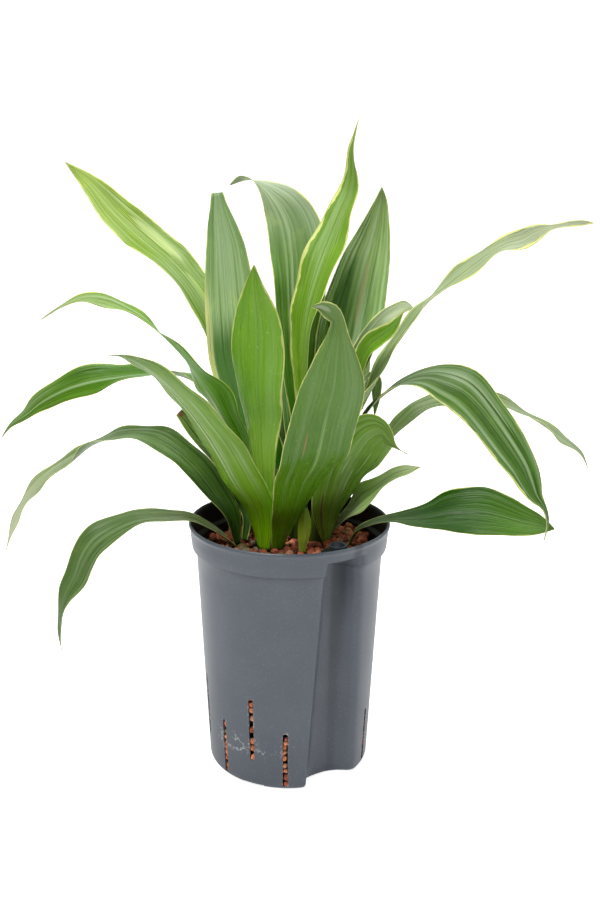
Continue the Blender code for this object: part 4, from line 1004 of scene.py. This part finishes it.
def pot_outside_material():
    """Grey moulded plastic, faintly mottled and speckled, with painted shade in the channel's
    right corner and a painted shadow under the band, and dried lime low down."""
    made, tree, shader = new_material("pot_grey")
    place = coordinates(tree)
    x, y, z = parts(place)
    heading = x.calc("ARCTAN2", -y) * math.degrees(1.0)
    cloud = grain(place, scale=28.0, detail=3.0)
    speck = grain(place, scale=520.0)
    dust = grain(place, scale=1300.0, detail=1.0)
    # painted shade in the channel's deep right corner, stronger towards the top under the shelf
    corner = abs(heading - CHANNEL_CORNER).slope(1.0, 5.0, 1.0, 0.0)
    # painted shadow: a thin dark line just under the band's step, cut off at the step
    shadow_under_band = z.slope((BAND_FOOT - 3.5) * MM, (BAND_FOOT - 0.6) * MM)
    shadow_cutoff_on_band = z.slope(BAND_FOOT * MM, (BAND_FOOT + 0.3) * MM, 0.4, 0.0)
    colour = layered(tree, srgb(POT_GREY_LOW),
                     (cloud.slope(0.35, 0.65), POT_GREY_HIGH),
                     (speck.slope(0.55, 0.75) * 0.16, POT_SPECK),
                     (dust.slope(0.7, 0.76) * 0.35, POT_DUST),
                     (corner * z.slope(0.02, SHELF_HEIGHT * MM, 0.25, 0.6), POT_PAINTED_SHADE),
                     (shadow_under_band * shadow_cutoff_on_band, POT_PAINTED_SHADE),
                     (lime_lines(place, heading, z * 1000.0) * 0.7, LIME))
    put(tree, shader, {"Base Color": colour, "Roughness": speck.slope(0.4, 0.7, 0.32, 0.36)})
    relief(shader, speck, 0.00012, 0.6)
    return made


def pot_inside_material():
    """The pot's black inside."""
    made, tree, shader = new_material("pot_black")
    speck = grain(coordinates(tree), scale=650.0, detail=3.0)
    colour = layered(tree, srgb(POT_BLACK_LOW), (speck.slope(0.45, 0.75), POT_BLACK_HIGH))
    put(tree, shader, {"Base Color": colour, "Roughness": 0.55})
    relief(shader, speck, 0.00025, 0.6)
    return made


def guide_material():
    """The guide ring's slate plastic."""
    made, tree, shader = new_material("guide_slate")
    speck = grain(coordinates(tree), scale=600.0, detail=3.0)
    colour = layered(tree, srgb(GUIDE_LOW), (speck, GUIDE_HIGH))
    put(tree, shader, {"Base Color": colour, "Roughness": 0.4})
    return made


def build_pot():
    """The pot, with finer roundings than its CAD node."""
    outer, inner = outer_rings(), inner_rings()
    verts, faces = loft(outer + inner)
    surfaces = (pot_outside_material(), pot_inside_material(), guide_material())
    made = mesh_object("pot_shell", verts, faces, surfaces)
    around = len(outer[0])
    first_inside = len(outer) * around
    last_inside = (len(outer) + len(inner) - 1) * around
    for index, polygon in enumerate(made.data.polygons):
        inside = first_inside <= index < last_inside or index >= last_inside + around
        polygon.material_index = 1 if inside else 0
    guide = outward(GUIDE_HEADING) * GUIDE_REACH
    cut(made, post(GUIDE_RADIUS, SHELF_HEIGHT + 1.0, GUIDE_TOP, guide), "UNION")
    cut(made, post(GUIDE_BORE, SHELF_HEIGHT - 1.5, GUIDE_TOP + 5.0, guide), "DIFFERENCE")
    cut(made, slot_tools(), "DIFFERENCE")
    cut(made, arch_tools(), "DIFFERENCE")
    mesh = made.data
    for polygon in mesh.polygons:
        spot = polygon.center / MM
        from_guide = math.hypot(spot.x - guide.x, spot.y - guide.y)
        if from_guide < GUIDE_RADIUS + 0.1 and spot.z > SHELF_HEIGHT - 1.0:
            polygon.material_index = 2
    mesh.shade_smooth()
    mesh.set_sharp_from_angle(angle=POT_SHARP)
    dress(made, "grey_plastic", "pot")


# Clay

def clay_material(name, colour):
    """Fired clay: a dusty pitted skin."""
    made, tree, shader = new_material(name)
    place = coordinates(tree)
    pits = grain(place, scale=900.0, detail=3.0)
    cloud = grain(place, scale=260.0)
    base = srgb(colour)
    mixed = layered(tree, base, (cloud.slope(0.35, 0.7), tinted(tree, base, CLAY_PALE_TINT)),
                    (pits.slope(0.5, 0.3), tinted(tree, base, CLAY_DARK_TINT)))
    put(tree, shader, {"Base Color": mixed, "Roughness": 0.85})
    relief(shader, pits, 0.0006)
    return made


def granule_places(draw):
    """Where loose granules lie: over the bed's top, and behind each slot."""
    wall = np.array([p[:2] for p in inner_ring(CLAY_TOP)])
    wall_reach = np.hypot(wall[:, 0], wall[:, 1])
    top = []
    tries = 0
    while len(top) < GRANULES_ACROSS_TOP and tries < GRANULE_TRIES:
        tries += 1
        way, r = outward(draw.uniform(0, 360)), GRANULE_REACH * math.sqrt(draw.random())
        size = draw.uniform(*GRANULE_RADII)
        x, y = way.x * r, way.y * r
        apart = np.hypot(wall[:, 0] - x, wall[:, 1] - y)
        if apart.min() < size + WALL_CLEARANCE or r > wall_reach[apart.argmin()]:
            continue
        if any(math.hypot(x - stem.x, y - stem.y) < stem.radius + size + STEM_CLEARANCE
               for stem in STEMS.values()):
            continue
        near = [p for p in top
                if math.hypot(x - p[0], y - p[1]) < GRANULE_NESTING * (size + p[3])]
        layer = 0.0
        if near:
            if len(near) > 2 or any(p[4] > 0 for p in near) or draw.random() < 0.5:
                continue
            layer = 1.0
        height = CLAY_TOP - 0.6 + draw.uniform(-1.0, 0.8) + LAYER_RISE * layer
        top.append((x, y, height, size, layer))
    behind = []
    for heading, low, high in SLOTS:
        height = low + 1.0
        while height < high + 2.0:
            size = draw.uniform(*SLOT_GRANULE_RADII)
            way = outward(heading + draw.uniform(-1.0, 1.0))
            reach = body_radius(height) - WALL - size + 1.4
            behind.append((way.x * reach, way.y * reach, height, size, 0.0))
            height += size * draw.uniform(1.5, 2.5) + (draw.random() < GAP_SHARE) * size
    return top, behind


def build_granules(name, places, colours, draw):
    """Loose lumpy granules as one piece."""
    seedling = bmesh.new()
    bmesh.ops.create_icosphere(seedling, subdivisions=3, radius=1.0)
    points = [v.co.copy() for v in seedling.verts]
    tri = [tuple(v.index for v in f.verts) for f in seedling.faces]
    seedling.free()
    verts, faces, which = [], [], []
    for number, (x, y, z, size, _) in enumerate(places):
        turn = Matrix.Rotation(draw.uniform(0, 6.28), 3, Vector((draw.random(), draw.random(), 1)))
        squeeze = Vector([draw.uniform(*ends) for ends in GRANULE_SQUEEZE])
        offset = Vector((number * 3.1, number * 1.7, 0.0))
        start = len(verts)
        for p in points:
            lump = 1.0 + sum(share * noise.noise(p * fine + offset)
                             for share, fine in GRANULE_LUMPS)
            squeezed = Vector(a * b for a, b in zip(p, squeeze))
            verts.append(turn @ squeezed * (size * lump) + Vector((x, y, z)))
        faces += [tuple(start + k for k in f) for f in tri]
        which += [draw.choices(range(len(colours)), CLAY_SHARES)[0]] * len(tri)
    surfaces = [clay_material(name + "_clay_" + str(index), colour)
                for index, colour in enumerate(colours)]
    made = mesh_object(name, verts, faces, surfaces)
    made.data.polygons.foreach_set("material_index", which)
    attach(made, "root")


def build_clay():
    """A dark bed with loose granules lying on it and behind the slots."""
    draw = random.Random(11)
    top, behind = granule_places(draw)
    build_granules("granules_top", top, CLAY_COLOURS, draw)
    build_granules("granules_in_slots", behind, SLOT_CLAY, draw)
    verts, faces = loft([inner_ring(*level) for level in BED_LEVELS])
    bed = mesh_object("clay_bed", verts, faces, [clay_material("clay_shadow", CLAY_SHADOW)])
    bed.data.set_sharp_from_angle(angle=POT_SHARP)
    dress(bed, "fired_clay", "clay_granules")


# Room

def build_floor():
    """A pale floor that curves up behind, with a glow that keeps it white in the picture."""
    surface, tree, shader = new_material("pale_floor")
    glow = seen_by_camera(tree) * FLOOR_WHITE + FLOOR_GLOW
    put(tree, shader, {"Base Color": (0.9, 0.9, 0.9, 1.0), "Roughness": 0.8,
                       "Specular IOR Level": 0.1, "Emission Color": WHITE,
                       "Emission Strength": glow})
    section = [(FLOOR_FRONT, 0.0), (FLOOR_BACK, 0.0)]
    for k in range(1, 13):
        a = math.radians(90.0 * k / 12)
        section.append((FLOOR_BACK + FLOOR_BEND * math.sin(a), FLOOR_BEND * (1.0 - math.cos(a))))
    section.append((FLOOR_BACK + FLOOR_BEND, FLOOR_RISE))
    verts = [(x / MM, y / MM, z / MM) for y, z in section for x in (-FLOOR_HALF, FLOOR_HALF)]
    faces = [(2 * k, 2 * k + 1, 2 * k + 3, 2 * k + 2) for k in range(len(section) - 1)]
    mesh_object("floor", verts, faces, [surface])


def build_light():
    """A white studio: dim on the viewer's side, bright at the sides, behind and above."""
    world = bpy.data.worlds.new("studio")
    world.use_nodes = True
    tree = world.node_tree
    _, y, z = parts(coordinates(tree, "Generated"))
    glow = y.slope(-0.95, 0.1, *WORLD_FRONT_TO_BACK) + z.slope(0.25, 0.9, 0.0, WORLD_ABOVE)
    strength = glow.calc("MAXIMUM", seen_by_camera(tree))
    put(tree, tree.nodes["Background"], {"Color": WHITE, "Strength": strength})
    bpy.context.scene.world = world
    for name, place, size, power in LIGHTS:
        lamp = bpy.data.lights.new(name, "AREA")
        lamp.size = size
        lamp.energy = power
        made = add_object(name, lamp)
        made.location = place
        aim = Vector(LIGHT_AIM) - Vector(place)
        made.rotation_euler = aim.to_track_quat("-Z", "Y").to_euler()


def build_camera():
    """The photograph's view."""
    lens = bpy.data.cameras.new("camera")
    lens.lens = CAMERA_LENS
    lens.sensor_width = CAMERA_SENSOR
    camera = add_object("camera", lens)
    camera.location = CAMERA_PLACE
    tilt = Euler((math.radians(CAMERA_TILT), 0.0, math.radians(CAMERA_PAN))).to_matrix()
    roll = Matrix.Rotation(math.radians(CAMERA_ROLL), 3, "Z")
    camera.rotation_euler = (tilt @ roll).to_euler()
    bpy.context.scene.camera = camera
    bpy.context.scene.view_settings.view_transform = "Standard"


build_floor()
build_light()
build_camera()
build_pot()
build_clay()
sheaths = stem_material("stem_sheaths", *SHEATH_GREENS)
husk = stem_material("shoot_husk", *HUSK_BROWNS)
for index, (name, stem) in enumerate(STEMS.items()):
    build_stem(name, stem, sheaths if stem.spear else husk)
    if stem.spear:
        build_spear(name.replace("stem", "spear"), stem, 70.0 + index)
for index, (name, leaf) in enumerate(LEAVES.items()):
    build_leaf("leaf_" + name, leaf, LOOKS.get(name, REAR_LOOK), 7.0 * index)
